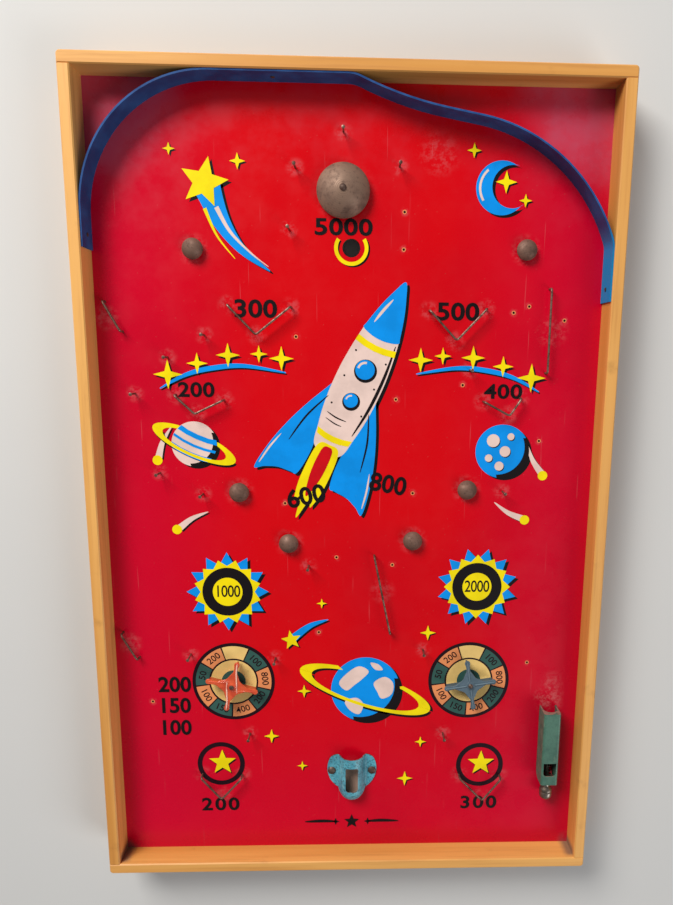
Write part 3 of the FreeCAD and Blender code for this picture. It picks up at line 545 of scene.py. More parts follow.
PINS = (
    (-5.7, 255.7), (-38.7, 232.6), (32.8, 234.5), (-43.5, 192.3), (-104.2, 119.8), (-130.6, 104.0),
    (-154.6, 78.2), (85.8, 97.2), (-108.8, 5.0), (113.3, 7.9), (-139.5, 20.7), (-31.7, -49.9),
    (-122.5, -120.8), (-57.8, -124.2), (56.3, -117.8), (-78.7, -187.4), (73.7, -188.4),
)
STUDS = ((-109.7, 177.9), (122.9, 180.7), (-82.0, 6.7), (86.3, 9.4), (-46.2, -31.9), (46.5, -29.8))
POCKETS = (
    ((-86.8, 140.5), (-67.1, 120.2), (-42.6, 139.7)),
    ((55.5, 138.5), (74.9, 117.8), (96.0, 140.2)),
    ((-125.8, 77.5), (-111.6, 64.3), (-91.6, 74.0)),
    ((96.5, 74.6), (115.1, 64.8), (123.3, 77.3)),
    ((-117.1, -222.3), (-101.5, -240.8), (-85.8, -223.3)),
    ((87.8, -225.0), (106.2, -244.6), (120.6, -226.1)),
)
GONG = (-5.8, 217.5)
SCORE_HOLE = (-0.2, 180.5)
BARE_PATCH_X = 1.5
BARE_PATCH_Y = (-221.0, -228.0, -234.5)
MARKS = (
    (36.7, 205.0), (36.5, 180.0), (116.0, 138.0), (127.0, 142.5), (-39.4, 119.4), (46.0, 6.2),
    (139.0, 46.0), (-10.7, -43.4), (-24.3, -103.2), (31.6, -49.3), (138.6, -128.8), (-48.8, -1.8),
    (-153.4, -159.8), (81.0, 86.4), (32.5, 75.6), (153.0, 133.0),
)


def middle(node):
    """The middle of a node's box, in millimetres."""
    low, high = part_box(node)
    return (low + high) / (2 * MM)


def halos():
    """Where balls have rubbed the lacquer: place, reach and strength."""
    places = [(x, y, 8.0, 0.5) for x, y in PINS]
    places += [(x, y, 13.0, 0.55) for x, y in STUDS]
    places += [(x, y, 4.0, 0.5) for x, y in MARKS]
    for points in POCKETS:
        places += [(x, y, 9.0, 0.45) for x, y in points]
    mouth_x = middle("launcher_housing").x
    mouth_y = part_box("launcher_housing")[1].y / MM
    places += [(mouth_x, mouth_y + 6, 15.0, 0.75), (mouth_x + 2, mouth_y + 20, 11.0, 0.5)]
    places += [(-172.0, 131.0, 11.0, 0.5), (-168.0, -112.0, 11.0, 0.5), (145.0, 125.0, 14.0, 0.4)]
    places += [(24.0, -70.0, 12.0, 0.35), GONG + (26.0, 0.3), (60.0, 243.0, 18.0, 0.35)]
    return places


# Materials by use

WOOD_ACROSS = rail_wood("wood_across", "X")
WOOD_ALONG = rail_wood("wood_along", "Y")
NAIL = metal("nail_steel", colour(104, 84, 74), colour(80, 62, 54), 0.55, 160.0, 0.5, colour(88, 50, 32))
WIRE = metal("wire_steel", colour(140, 112, 100), colour(98, 66, 56), 0.45, 220.0, 0.7, colour(84, 40, 32))
OXIDE = metal(
    "oxidised_metal", colour(126, 96, 82), colour(106, 80, 68), 0.62, 120.0, 0.35, colour(88, 66, 56), 0.5
)
GONG_METAL = metal(
    "gong_metal", colour(140, 112, 94), colour(120, 94, 80), 0.6, 90.0, 0.35, colour(92, 70, 60), 0.45, GONG
)
STEEL = metal("plunger_steel", colour(140, 130, 120), colour(96, 84, 74), 0.38)
DARK_STEEL = metal("spring_steel", colour(92, 84, 78), colour(60, 52, 46), 0.42)
TURQUOISE = enamel(
    "turquoise_enamel", colour(96, 174, 190), colour(66, 136, 156), colour(160, 200, 198), 90.0, 0.66,
    colour(104, 66, 52), colour(48, 84, 92), 0.7,
)
GREEN = enamel(
    "green_enamel", colour(76, 116, 98), colour(58, 96, 82), colour(150, 158, 132), 80.0, 0.7,
    colour(140, 112, 100), colour(46, 62, 54), 0.22,
)
BLACK_INK = ink("black_ink", colour(22, 16, 18))
YELLOW_INK = ink("yellow_ink", colour(250, 226, 6))
BLUE_INK = ink("blue_ink", colour(4, 148, 238))
CREAM_INK = ink("cream_ink", colour(238, 208, 196))
ORANGE_INK = ink("orange_ink", colour(234, 146, 92))
GREEN_INK = ink("green_ink", colour(54, 92, 84))
TAN_INK = ink("tan_ink", colour(238, 200, 122))
MAROON_INK = ink("maroon_ink", colour(34, 10, 20))
RED_INK = ink("red_ink", colour(206, 6, 22))


# The frame and the board

for rail_name, rail_material in (
    ("rail_top", WOOD_ACROSS),
    ("rail_bottom", WOOD_ACROSS),
    ("rail_left", WOOD_ALONG),
    ("rail_right", WOOD_ALONG),
):
    dress(rail_name, rail_material)
    soften(rail_name, 0.35)
dress("playfield", board_paint(halos()))
dress("corner_nails", NAIL)
dress("strip_nails", NAIL)


# Outlines of printed shapes, in millimetres

def placed(points, x, y, turn=0.0, scale=1.0, flip=1):
    """Points turned by degrees, scaled, mirrored if flip is -1, and moved."""
    cosine, sine = math.cos(math.radians(turn)), math.sin(math.radians(turn))
    moved = []
    for across, along in points:
        across, along = across * flip * scale, along * scale
        moved.append((x + across * cosine - along * sine, y + across * sine + along * cosine))
    return moved


def disc(x, y, radius, steps=56):
    """Points round a circle."""
    angles = [2 * math.pi * step / steps for step in range(steps)]
    return [(x + radius * math.cos(angle), y + radius * math.sin(angle)) for angle in angles]


def arc(wide, tall, start, end, steps=40):
    """Points along an oval, from one angle in degrees to another."""
    angles = [math.radians(start + (end - start) * step / steps) for step in range(steps + 1)]
    return [(wide * math.cos(angle), tall * math.sin(angle)) for angle in angles]


def band(x, y, wide, tall, share, start, end, turn=0.0, steps=40):
    """Part of an oval ring, from its outer edge to a share of it."""
    outer = arc(wide, tall, start, end, steps)
    inner = arc(wide * share, tall * share, start, end, steps)
    return placed(outer + inner[::-1], x, y, turn)


def star(x, y, outer, share=0.42, count=5, turn=90.0):
    """A star whose inner corners lie at a share of its reach."""
    points = []
    for step in range(2 * count):
        angle = math.radians(turn + 180.0 * step / count)
        reach = outer if step % 2 == 0 else outer * share
        points.append((x + reach * math.cos(angle), y + reach * math.sin(angle)))
    return points


def smooth(points, steps=7, closed=True):
    """A curve through the points."""
    count = len(points)
    route = []
    for index in range(count if closed else count - 1):
        beside = [index + k for k in (-1, 0, 1, 2)]
        near = [points[k % count] if closed else points[min(max(k, 0), count - 1)] for k in beside]
        for step in range(steps):
            t = step / steps
            place = []
            for a, b, c, d in zip(*near):
                square, cube = 2 * a - 5 * b + 4 * c - d, 3 * b - a - 3 * c + d
                place.append(0.5 * (2 * b + (c - a) * t + square * t**2 + cube * t**3))
            route.append(tuple(place))
    if not closed:
        route.append(points[-1])
    return route


def ribbon(points, start_width, end_width, middle_width):
    """A stroke along a smooth open curve whose width changes on the way."""
    route = smooth(points, 8, closed=False)
    pull = 2 * middle_width - (start_width + end_width) / 2
    left, right = [], []
    last = len(route) - 1
    for index, (x, y) in enumerate(route):
        before, after = route[max(0, index - 1)], route[min(last, index + 1)]
        run = math.hypot(after[0] - before[0], after[1] - before[1]) or 1.0
        across = (-(after[1] - before[1]) / run, (after[0] - before[0]) / run)
        t = index / last
        width = start_width * (1 - t) ** 2 + 2 * pull * t * (1 - t)
        width = max(width + end_width * t**2, 0.1) / 2
        left.append((x + across[0] * width, y + across[1] * width))
        right.append((x - across[0] * width, y - across[1] * width))
    return left + right[::-1]


def mirrored(points):
    """The right-hand half of an outline and its mirror image."""
    return points + [(-x, y) for x, y in reversed(points) if abs(x) > 1e-6]


class Print:
    """Printed shapes of one ink, gathered into one thin mesh that lies on the board."""

    STEP = 0.02
    FONT_CAPITAL = 0.72
    ALL = []

    def __init__(self, name, material, level):
        self.name = name
        self.material = material
        self.base = FACE + self.STEP * (level + 0.5)
        self.form = bmesh.new()
        self.ALL.append(self)

    def take(self, curve, change):
        """Add a flat curve or text as mesh, changed and moved into place."""
        curve.extrude = self.STEP / 2 * MM
        curve.resolution_u = 4
        mesh = curve_mesh(curve, Matrix.Translation((0.0, 0.0, self.base * MM)) @ change)
        self.form.from_mesh(mesh)
        bpy.data.meshes.remove(mesh)

    def shape(self, outline, holes=()):
        self.take(flat_curve((outline, *holes)), Matrix.Identity(4))

    def number(self, text, place, height, turn, weight, spacing, widen):
        """A number centred on a place, its digits of the given height."""
        digits = bpy.data.curves.new("digits", "FONT")
        digits.body = text
        digits.align_x = "CENTER"
        digits.align_y = "CENTER"
        digits.size = height / self.FONT_CAPITAL * MM
        digits.offset = weight * height * MM
        digits.space_character = spacing
        move = Matrix.Translation((place[0] * MM, place[1] * MM, 0.0))
        turned = Matrix.Rotation(math.radians(turn), 4, "Z")
        self.take(digits, move @ turned @ Matrix.Diagonal((widen, 1.0, 1.0, 1.0)))

    def finish(self):
        mesh = bpy.data.meshes.new(self.name)
        self.form.to_mesh(mesh)
        self.form.free()
        new_object(self.name, mesh, self.material)


# Printing on the board, from the lowest layer up

shadow_print = Print("print_shadow", BLACK_INK, 0)
blue_print = Print("print_blue", BLUE_INK, 1)
cream_print = Print("print_cream", CREAM_INK, 2)
yellow_print = Print("print_yellow", YELLOW_INK, 3)
dial_print = Print("print_dial", MAROON_INK, 4)
orange_print = Print("print_orange", ORANGE_INK, 5)
green_print = Print("print_green", GREEN_INK, 5)
tan_print = Print("print_tan", TAN_INK, 5)
hub_print = Print("print_hub", GREEN_INK, 6)
black_detail = Print("print_black_detail", BLACK_INK, 6)
blue_detail = Print("print_blue_detail", BLUE_INK, 7)
cream_detail = Print("print_cream_detail", CREAM_INK, 8)
yellow_detail = Print("print_yellow_detail", YELLOW_INK, 9)
red_detail = Print("print_red_detail", RED_INK, 9)
number_print = Print("print_numbers", BLACK_INK, 10)
dial_numbers = Print("print_dial_numbers", MAROON_INK, 10)


def shadowed(layer, outline, drop=(2.2, -1.7)):
    """A shape with its black drop shadow."""
    layer.shape(outline)
    shadow_print.shape([(x + drop[0], y + drop[1]) for x, y in outline])


def sparkles(layer, places, share, drop):
    """Four-pointed stars at their places, each with its own size."""
    for x, y, size in places:
        shadowed(layer, star(x, y, size, share, 4), drop=drop)


def dark_side(x, y, radius, start=-100, lift=(0.17, 0.13)):
    """The crescent of shade on a round body, from an angle on."""
    outer = arc(1, 1, start, start + 130)
    inner = arc(1, 1, start + 8, start + 122)
    shade = outer + [(u - lift[0], v + lift[1]) for u, v in reversed(inner)]
    black_detail.shape(placed(shade, x, y, 0.0, radius))


def rocket():
    """The large rocket, flying slantwise to the upper right."""
    def at(points):
        return placed(points, 5.0, 86.0, -25.0, 0.9)

    half = [(0, 88), (5.5, 77), (10.5, 63), (14.6, 47), (17.6, 28), (19.4, 6), (19.0, -18), (16.0, -41)]
    body = mirrored(half + [(10.5, -60)])
    fin = smooth([
        (14, -2), (25, -19), (37, -46), (45, -72), (48.5, -96), (41, -92.5), (31, -88.5), (20, -87.5),
        (14.5, -86), (12, -66), (14, -40),
    ])
    flame = smooth([
        (0, -121), (4, -103), (7.5, -108), (11, -88), (9.5, -58), (0, -54), (-9.5, -58), (-11, -88),
        (-7.5, -108), (-4, -103),
    ])
    core = smooth([(0, -101), (4.8, -82), (4.6, -60), (0, -56), (-4.6, -60), (-4.8, -82)])
    shadowed(cream_print, at(smooth(body)))
    for side in (-1, 1):
        outline = [(x * side, y) for x, y in fin]
        shadowed(blue_print, at(outline))
        fold = [(side * 18, -18), (side * 27, -40), (side * 32, -64)]
        black_detail.shape(at(ribbon(fold, 0.4, 0.4, 1.5)))
        gleam = [(side * 39.5, -62), (side * 43.6, -76), (side * 46.2, -91)]
        cream_detail.shape(at(ribbon(gleam, 0.3, 0.6, 1.5)))
    shadowed(yellow_print, at(flame))
    red_detail.shape(at(core))
    nose = mirrored([(0, 88.3), (5.6, 77.2), (10.6, 63.2), (14.7, 47.2), (15.4, 43), (8, 40.2), (0, 39.3)])
    blue_detail.shape(at(smooth(nose, 5)))
    cream_detail.shape(at(ribbon([(-9.5, 50), (-6.8, 61), (-3.2, 72)], 0.4, 0.4, 2.2)))
    for level, high, low in ((36.5, 16.4, 17.2), (-44.0, 15.1, 13.8)):
        upper = [(share * high, level - 2.4 * (1 - share * share)) for share in (-1, -0.5, 0, 0.5, 1)]
        lower = [(share * low, level - 5 - 2.4 * (1 - share * share)) for share in (1, 0.5, 0, -0.5, -1)]
        yellow_detail.shape(at(upper + lower))
    for level, radius in ((13.0, 9.2), (-14.0, 7.2)):
        black_detail.shape(at(disc(0.8, level - 0.8, radius)))
        blue_detail.shape(at(disc(0, level, radius - 1.4)))
        cream_detail.shape(at(band(0, level, radius - 2.8, radius - 2.8, 0.72, 100, 190)))
    black_detail.shape(at(ribbon([(14.2, 40), (16.6, 14), (16.4, -14), (13.2, -40)], 0.5, 0.5, 2.6)))
    black_detail.shape(at(ribbon([(-13.5, -30), (-5, -31.5), (4, -31.2)], 0.3, 0.3, 1.2)))
    black_detail.shape(at(ribbon([(-12.5, -35), (-4, -36.5), (2, -36.4)], 0.3, 0.3, 1.0)))
    for side in (-1, 1):
        for level in (24.0, 2.0, -22.0):
            black_detail.shape(at(disc(side * 13.2, level, 0.8)))


def sky():
    """A comet on the left, a moon on the right, and sparkles."""
    shadowed(blue_print, ribbon([(-99, 219), (-90, 197), (-76, 178), (-57, 164)], 19, 0.6, 9))
    cream_detail.shape(ribbon([(-93, 206), (-84, 190), (-70, 176), (-58, 167)], 3.2, 0.4, 1.6))
    yellow_detail.shape(ribbon([(-101, 205), (-93, 187), (-81, 172)], 2.6, 0.4, 1.4))
    shadowed(yellow_detail, star(-101, 222, 17, 0.45, 5, 78))
    black_detail.shape(disc(-101, 222, 1.0))
    crescent = arc(18, 18, 60, 320) + [(x + 7.5, y + 1.0) for x, y in reversed(arc(14.2, 14.2, 72, 306))]
    shadowed(blue_print, placed(crescent, 104, 222))
    cream_detail.shape(band(104, 222, 16.0, 16.0, 0.9, 130, 214))
    loose = ((107, 226, 7.5), (121, 214, 4.6), (84, 246, 5.0), (-78, 236, 5.5), (-124, 243, 4.2))
    sparkles(yellow_print, loose, 0.34, (1.2, -1.0))
    for side in (-1, 1):
        row = ((131, 92, 10.5), (110, 100, 7.6), (88, 106, 8.6), (66, 107, 6.2), (50, 104, 8.8))
        sparkles(yellow_print, [(side * x, y, size) for x, y, size in row], 0.3, (1.6, -1.6))
        path = [(side * 137, 82), (side * 118, 92), (side * 98, 97), (side * 76, 98.5), (side * 47, 94)]
        shadowed(blue_print, ribbon(path, 0.8, 0.8, 3.6), drop=(1.0, -1.2))
    hole_x, hole_y = SCORE_HOLE
    yellow_print.shape(band(hole_x, hole_y, 12.0, 12.0, 0.78, 146, 394))
    shadow_print.shape(band(hole_x + 1.2, hole_y - 1.0, 12.0, 12.0, 0.8, 146, 394))
    for x, y, turn in ((-141, 30, 66), (143, 20, 118), (-129, -22, 30), (131, -14, 150)):
        tail = placed([(2, 0), (14, 1.6), (27, 0)], x, y, turn)
        shadowed(cream_print, ribbon(tail, 5.2, 0.4, 3.4), drop=(1.2, -1.0))
        yellow_detail.shape(disc(x, y, 3.6))


def ringed_planet(x, y, radius, turn):
    """A globe with stripes inside a tilted ring."""
    wide, tall, share = radius * 1.95, radius * 0.56, 0.76
    for start, end in ((0, 62), (118, 180)):
        yellow_print.shape(band(x, y, wide, tall, share, start, end, turn))
    shadowed(cream_print, disc(x, y, radius))
    for low, high, bulge in ((0.34, 0.56, -0.10), (-0.02, 0.10, -0.12), (-0.52, -0.30, -0.10)):
        left = [(-math.sqrt(1 - v * v), v) for v in (low, (low + high) / 2, high)]
        across = [(u, high + bulge * (1 - u * u)) for u in (-0.5, 0.0, 0.5)]
        right = [(math.sqrt(1 - v * v), v) for v in (high, (low + high) / 2, low)]
        back = [(u, low + bulge * (1 - u * u)) for u in (0.5, 0.0, -0.5)]
        blue_detail.shape(placed(left + across + right + back, x, y, turn, radius * 0.985))
    dark_side(x, y, radius)
    black_detail.shape(band(x + 0.8, y - 1.6, wide, tall, share * 0.97, 180, 360, turn))
    yellow_detail.shape(band(x, y, wide, tall, share, 180, 360, turn))


def burst(x, y, turn, number):
    """A numbered disc in two rings of rays."""
    shadowed(blue_print, star(x, y, 31, 0.7, 12, turn))
    yellow_print.shape(star(x, y, 25.5, 0.8, 12, turn + 15))
    black_detail.shape(disc(x, y, 19))
    yellow_detail.shape(disc(x, y, 11.2))
    number_print.number(number, (x, y), 9.4, 0.0, 0.014, 0.94, 0.78)


def cratered_moon(x, y, radius):
    """A round moon with craters and a dark side."""
    shadowed(blue_print, disc(x, y, radius))
    craters = (
        (-0.35, 0.4, 0.24), (0.3, 0.55, 0.13), (0.1, 0.0, 0.2), (-0.5, -0.25, 0.14), (-0.1, -0.55, 0.17),
    )
    for across, along, reach in craters:
        spot_x, spot_y = x + across * radius, y + along * radius
        black_detail.shape(disc(spot_x + 0.5, spot_y - 0.6, reach * radius, steps=32))
        cream_detail.shape(disc(spot_x, spot_y, reach * radius, steps=32))
    dark_side(x, y, radius)


def lower_planet():
    """The largest ringed planet, low in the middle, with a comet and sparkles about it."""
    x, y, radius = 12.0, -151.0, 27
    ring = {"wide": 54, "tall": 14, "turn": -19}
    for start, end in ((0, 60), (120, 180)):
        shadowed(yellow_print, band(x, y, share=0.82, start=start, end=end, **ring))
    shadowed(blue_print, disc(x, y, radius))
    land = (
        [(-20, 8), (-12, 16), (-3, 20), (4, 15), (-2, 9), (-8, 5), (-15, 1)],
        [(7, 5), (16, 9), (22, 3), (20, -6), (12, -9), (9, -3)],
        [(-17, -8), (-8, -6), (-3, -12), (-7, -20), (-14, -16)],
        [(6, 22), (12, 20), (15, 15), (9, 16)],
    )
    for blob in land:
        cream_detail.shape(placed(smooth(blob, 5), x, y, 6.0))
    dark_side(x, y, radius, -110, (0.15, 0.14))
    black_detail.shape(band(x + 1, y - 2.0, share=0.8, start=180, end=360, **ring))
    yellow_detail.shape(band(x, y, share=0.82, start=180, end=360, **ring))
    shadowed(blue_print, ribbon([(-44, -108), (-31, -98), (-17, -93)], 6.5, 0.5, 4.2), drop=(1.2, -1.2))
    shadowed(yellow_print, star(-45.5, -109.5, 8.0, 0.44, 5, 100), drop=(1.4, -1.2))
    places = (
        (-36, -152, 5.4), (60, -104, 6.2), (-62, -190, 6.0), (56, -196, 4.6), (-22, -80, 4.0),
        (-38, -216, 4.2), (44, -228, 6.4),
    )
    sparkles(yellow_print, places, 0.32, (1.0, -0.9))


def foot_ornament():
    """A star between two tapering strokes at the foot of the board."""
    x, y = 1.5, -266
    for side in (-1, 1):
        stroke = ribbon([(12, 0), (24, 0.6), (38, 0)], 0.4, 0.4, 2.6)
        number_print.shape(placed(stroke, x, y, 0, 1, side))
    number_print.shape(star(x, y, 6.4, 0.45))
    for aside in (-13, 13):
        number_print.shape(star(x + aside, y, 3.2, 0.4, 4))


def dial(x, y):
    """A target of nine sectors, eight of them numbered, round a plain middle."""
    outer, inner, ring, hub = 29.2, 19.0, 17.7, 9.3
    joint = 1.2
    blank_start, blank_end = -18.0, 25.0
    step = (360.0 - (blank_end - blank_start)) / 8

    def sector(layer, start, end):
        points = band(x, y, outer, outer, inner / outer, 90 - end + joint, 90 - start - joint, 0, 12)
        layer.shape(points)

    dial_print.shape(disc(x, y, 31.8, steps=72))
    tan_print.shape(disc(x, y, ring, steps=48), [disc(x, y, hub - 0.5, steps=40)])
    hub_print.shape(disc(x, y, hub, steps=40))
    sector(tan_print, blank_start, blank_end)
    for index, value in enumerate(("100", "800", "200", "400", "150", "100", "50", "200")):
        start = blank_end + index * step
        sector(green_print if index % 2 == 0 else orange_print, start, start + step)
        heading = start + step / 2
        reach = (outer + inner) / 2
        spot = (x + reach * math.sin(math.radians(heading)), y + reach * math.cos(math.radians(heading)))
        turn = -heading if heading < 110 or heading > 250 else 180 - heading
        dial_numbers.number(value, spot, 5.2, turn, 0.012, 1.0, 1.02)


def star_ring(x, y, radius, star_x, star_y):
    """A ring with a star in it."""
    dial_print.shape(disc(x, y, radius, steps=64), [disc(x, y, radius - 3.7, steps=56)])
    shadow_print.shape(star(star_x + 0.9, star_y - 1.1, 11.2, 0.42))
    yellow_print.shape(star(star_x, star_y, 11.0, 0.42))


def numbers():
    """The scores: each number, its place, digit height, turn, spacing and widening."""
    rows = (
        ("5000", -5.7, 193.8, 11.0, 0.0, 1.04, 1.3),
        ("300", -67.8, 137.8, 12.2, 0.0, 1.02, 1.2),
        ("500", 75.9, 137.6, 12.2, 0.0, 1.02, 1.2),
        ("200", -111.2, 80.8, 10.4, 0.0, 1.04, 1.18),
        ("400", 111.0, 81.5, 10.4, 0.0, 1.06, 1.24),
        ("600", -33.2, 3.0, 13.6, 12.0, 1.0, 1.03),
        ("800", 27.5, 12.4, 13.6, -10.0, 1.0, 0.98),
        ("200", -136.0, -146.4, 12.4, 0.0, 1.0, 0.98),
        ("150", -136.8, -164.0, 12.4, 0.0, 1.0, 0.98),
        ("100", -136.9, -182.6, 12.4, 0.0, 1.0, 0.98),
        ("200", -103.7, -249.6, 11.0, 0.0, 1.2, 1.16),
        ("300", 104.4, -250.5, 11.0, 0.0, 1.2, 1.16),
    )
    for text, x, y, height, turn, spacing, widen in rows:
        number_print.number(text, (x, y), height, turn, 0.035, spacing, widen)


def marks():
    """Old nail holes and dents."""
    for x, y in MARKS:
        orange_print.shape(disc(x, y, 1.5, steps=14), [disc(x, y, 0.9, steps=12)])
        black_detail.shape(disc(x, y, 0.8, steps=12))


rocket()
sky()
ringed_planet(-114.0, 42.0, 16.5, -24.0)
cratered_moon(112.0, 38.0, 20.0)
burst(-93.1, -70.6, 90.0, "1000")
burst(96.9, -66.8, 105.0, "2000")
lower_planet()
foot_ornament()
PIVOTS = {side: middle("spinner_%s_pivot" % side) for side in ("left", "right")}
for side, pivot in PIVOTS.items():
    dial(pivot.x, pivot.y)
star_ring(-102.2, -213.4, 18.6, -101.2, -212.3)
star_ring(104.3, -216.5, 19.0, 105.3, -215.1)
numbers()
marks()
for layer in Print.ALL:
    layer.finish()


# Turned and bent metal pieces

STUD_PROFILE = [(0.0, 0.0), (1.6, 0.0), (1.6, 2.9), (5.9, 2.9), (6.4, 2.62), (6.95, 2.62), (7.18, 2.86)]
STUD_PROFILE += [(7.2, 3.4)] + dome(7.08, 4.05, 3.6, 12)
for number, (x, y) in enumerate(STUDS, start=1):
    name = "stud_%d" % number
    cap = lathe(name, STUD_PROFILE, (x, y, FACE), 64)
    stand_in(name, "dome_stud_%d" % number, cap, OXIDE)

gong_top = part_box("gong")[1].z / MM - FACE
gong_radius = 18.25
gong_bore = 1.02
gong_profile = [(gong_bore, gong_top - 1.05), (9.0, gong_top - 2.2), (15.4, 4.9), (17.1, 3.2), (17.3, 3.02)]
gong_profile += [(17.9, 3.0), (18.2, 3.25), (gong_radius, 4.4)]
gong_profile += dome(gong_radius - 0.12, gong_top - 4.75, 4.75, 20, gong_bore)
gong_profile += [(gong_bore, gong_top - 1.05)]
bell = lathe("gong_bell", gong_profile, GONG + (FACE,), 96)
stand_in("gong_bell", "gong", bell, GONG_METAL)
post_top = gong_top - 2.0
post_profile = [(1.05, 0.0), (3.0, 0.0), (3.0, post_top), (1.05, post_top), (1.05, 0.0)]
post = lathe("gong_post", post_profile, GONG + (FACE,), 32)
stand_in("gong_post", "gong_spacer", post, OXIDE)


def nail_profile(shank, head, rise, seat, depth=3.4):
    """A round-headed nail: shank below the seat, domed head above it."""
    stem = [(0.0, -depth), (shank, -depth + 0.5), (shank, seat)]
    rim = [(head - 0.15, seat), (head, seat + 0.12), (head, seat + 0.25)]
    return stem + rim + dome(head - 0.05, rise - 0.3, seat + 0.3, 7)


def nails(name, node, places, profile, material=NAIL):
    """Nails of one kind as one piece."""
    whole = joined(name, [lathe("nail", profile, (x, y, FACE), 24) for x, y in places])
    stand_in(name, node, whole, material)


nails("gong_screw", "gong_nail", [GONG], nail_profile(1.0, 2.3, 1.4, gong_top))
nails("board_pins", "pins", PINS, nail_profile(0.7, 1.25, 0.5, 11.0), WIRE)
HOOD_NAIL_HEAD = 3.2
hood_nail_low, hood_nail_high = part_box("return_hood_nails")
hood_nail_x = (hood_nail_low.x / MM + HOOD_NAIL_HEAD, hood_nail_high.x / MM - HOOD_NAIL_HEAD)
hood_nail_places = [(x, middle("return_hood_nails").y) for x in hood_nail_x]
nails("hood_studs", "return_hood_nails", hood_nail_places, nail_profile(1.0, HOOD_NAIL_HEAD, 1.8, 0.8))

WIRE_RADIUS = 0.8
WIRE_HEIGHT = 6.2
WIRE_LEG = 3.4


def wire(name, node, points):
    """A wire fence with round bends, its ends turned down into the board."""
    top = [Vector((x, y, FACE + WIRE_HEIGHT)) for x, y in points]
    route = [Vector((*points[0], FACE - WIRE_LEG))] + top + [Vector((*points[-1], FACE - WIRE_LEG))]
    fence = tube(name, rounded_route(route, 2.3), WIRE_RADIUS, 14)
    stand_in(name, node, fence, WIRE)


for number, points in enumerate(POCKETS, start=1):
    wire("pocket_%d" % number, "pocket_wire_%d" % number, points)
wire("left_rail_wire_upper", "left_guide_wire_upper", ((-172.3, 141.8), (-161.0, 121.5)))
wire("left_rail_wire_lower", "left_guide_wire_lower", ((-172.8, -102.5), (-161.6, -122.8)))
wire("lane_wire", "lane_guide_wire", ((141.1, 154.6), (141.1, 95.6)))
wire("centre_wire", "centre_guide_wire", ((17.9, -41.9), (30.4, -103.0)))


# Spinners

SPINNER_TOP = 9.2
PLATE_THICKNESS = 1.25
ARM_TIP = 2.1
ARM_WAIST = 1.35
HOLLOW_REACH = 7.4
HOLLOW_RISE = 4.3
HOLLOW_START = 7.4


def spinner_outline(turn):
    """The star plate seen from above: four flared arms and hollow sides between them."""
    outline = []
    for arm in range(4):
        side = [(11.6, -1.5), (12.8, -ARM_WAIST), (15.6, -1.55), (18.0, -ARM_TIP)]
        round_tip = (-1.2, -0.8, -0.4, 0, 0.4, 0.8, 1.2)
        tip = [(18.2 + ARM_TIP * math.cos(angle), ARM_TIP * math.sin(angle)) for angle in round_tip]
        other = [(x, -y) for x, y in reversed(side)]
        hollow = []
        for step in range(1, 8):
            share = step / 8
            angle = math.radians(HOLLOW_START + (90 - 2 * HOLLOW_START) * share)
            reach = HOLLOW_REACH + HOLLOW_RISE * (2 * share - 1) ** 2
            hollow.append((reach * math.cos(angle), reach * math.sin(angle)))
        outline += placed(side + tip + other + hollow, 0, 0, turn + 90 * arm)
    return outline


def rounded_block(low, high, edge):
    """A block with rounded edges."""
    form = bmesh.new()
    bmesh.ops.create_cube(form, size=1.0)
    low, high = Vector(low), Vector(high)
    for corner in form.verts:
        corner.co = Vector(tuple(low[k] + (corner.co[k] + 0.5) * (high[k] - low[k]) for k in range(3)))
    bmesh.ops.bevel(form, geom=form.edges[:], offset=edge, segments=3, profile=0.5, affect="EDGES")
    mesh = bpy.data.meshes.new("block")
    form.to_mesh(mesh)
    form.free()
    mesh.transform(Matrix.Scale(MM, 4))
    return mesh


def rounded_plate(outline, low, thickness, edge):
    """A plate with a rounded rim from an outline in board millimetres."""
    curve = flat_curve([outline])
    curve.extrude = (thickness / 2 - edge) * MM
    curve.bevel_depth = edge * MM
    curve.bevel_resolution = 3
    curve.offset = -edge * MM
    return curve_mesh(curve, Matrix.Translation((0.0, 0.0, (low + thickness / 2) * MM)))


def arm_ridge(heading, aside, drop):
    """The rounded ridge along one arm, which starts beside the hub."""
    crest = [(-abs(aside), aside * 1.08, -0.3), (3.0, aside * 0.72, 0.14), (11.0, aside * 0.26, 0.16)]
    crest += [(17.0, aside * 0.05, 0.12), (19.6, 0, -0.3)]
    route = []
    for along, across, rise in crest:
        (x, y), = placed([(along, across)], 0, 0, heading)
        route.append(Vector((x, y, SPINNER_TOP + rise - drop)))
    return tube("ridge", rounded_route(route, 6.0, 4), 0.62, 10)


def star_spinner(side, turn, aside, body_paint):
    """A moulded spinner: star plate, a rounded ridge along each arm, vanes below and a hub."""
    body = [rounded_plate(spinner_outline(turn), SPINNER_TOP - PLATE_THICKNESS, PLATE_THICKNESS, 0.45)]
    ridges = []
    for arm in range(4):
        heading = turn + 90 * arm
        vane = rounded_block((3.0, -0.7, 2.0), (18.2, 0.7, SPINNER_TOP - 0.5), 0.3)
        vane.transform(Matrix.Rotation(math.radians(heading), 4, "Z"))
        body.append(vane)
        ridges.append(arm_ridge(heading, aside, 0.5 if aside and arm % 2 == 0 else 0.0))
    hub = [(1.08, 1.65), (3.3, 1.65), (3.5, 1.85), (3.5, SPINNER_TOP)]
    hub += dome(3.35, 0.85, SPINNER_TOP + 0.05, 6, 1.08) + [(1.08, 1.65)]
    body.append(lathe("hub", hub, (0, 0, 0), 40))
    name = "spinner_%s_star" % side
    whole = joined(name, body + ridges)
    whole.transform(Matrix.Translation(Vector((PIVOTS[side].x, PIVOTS[side].y, FACE)) * MM))
    stand_in(name, "spinner_" + side, whole, body_paint, side + "_spinner")


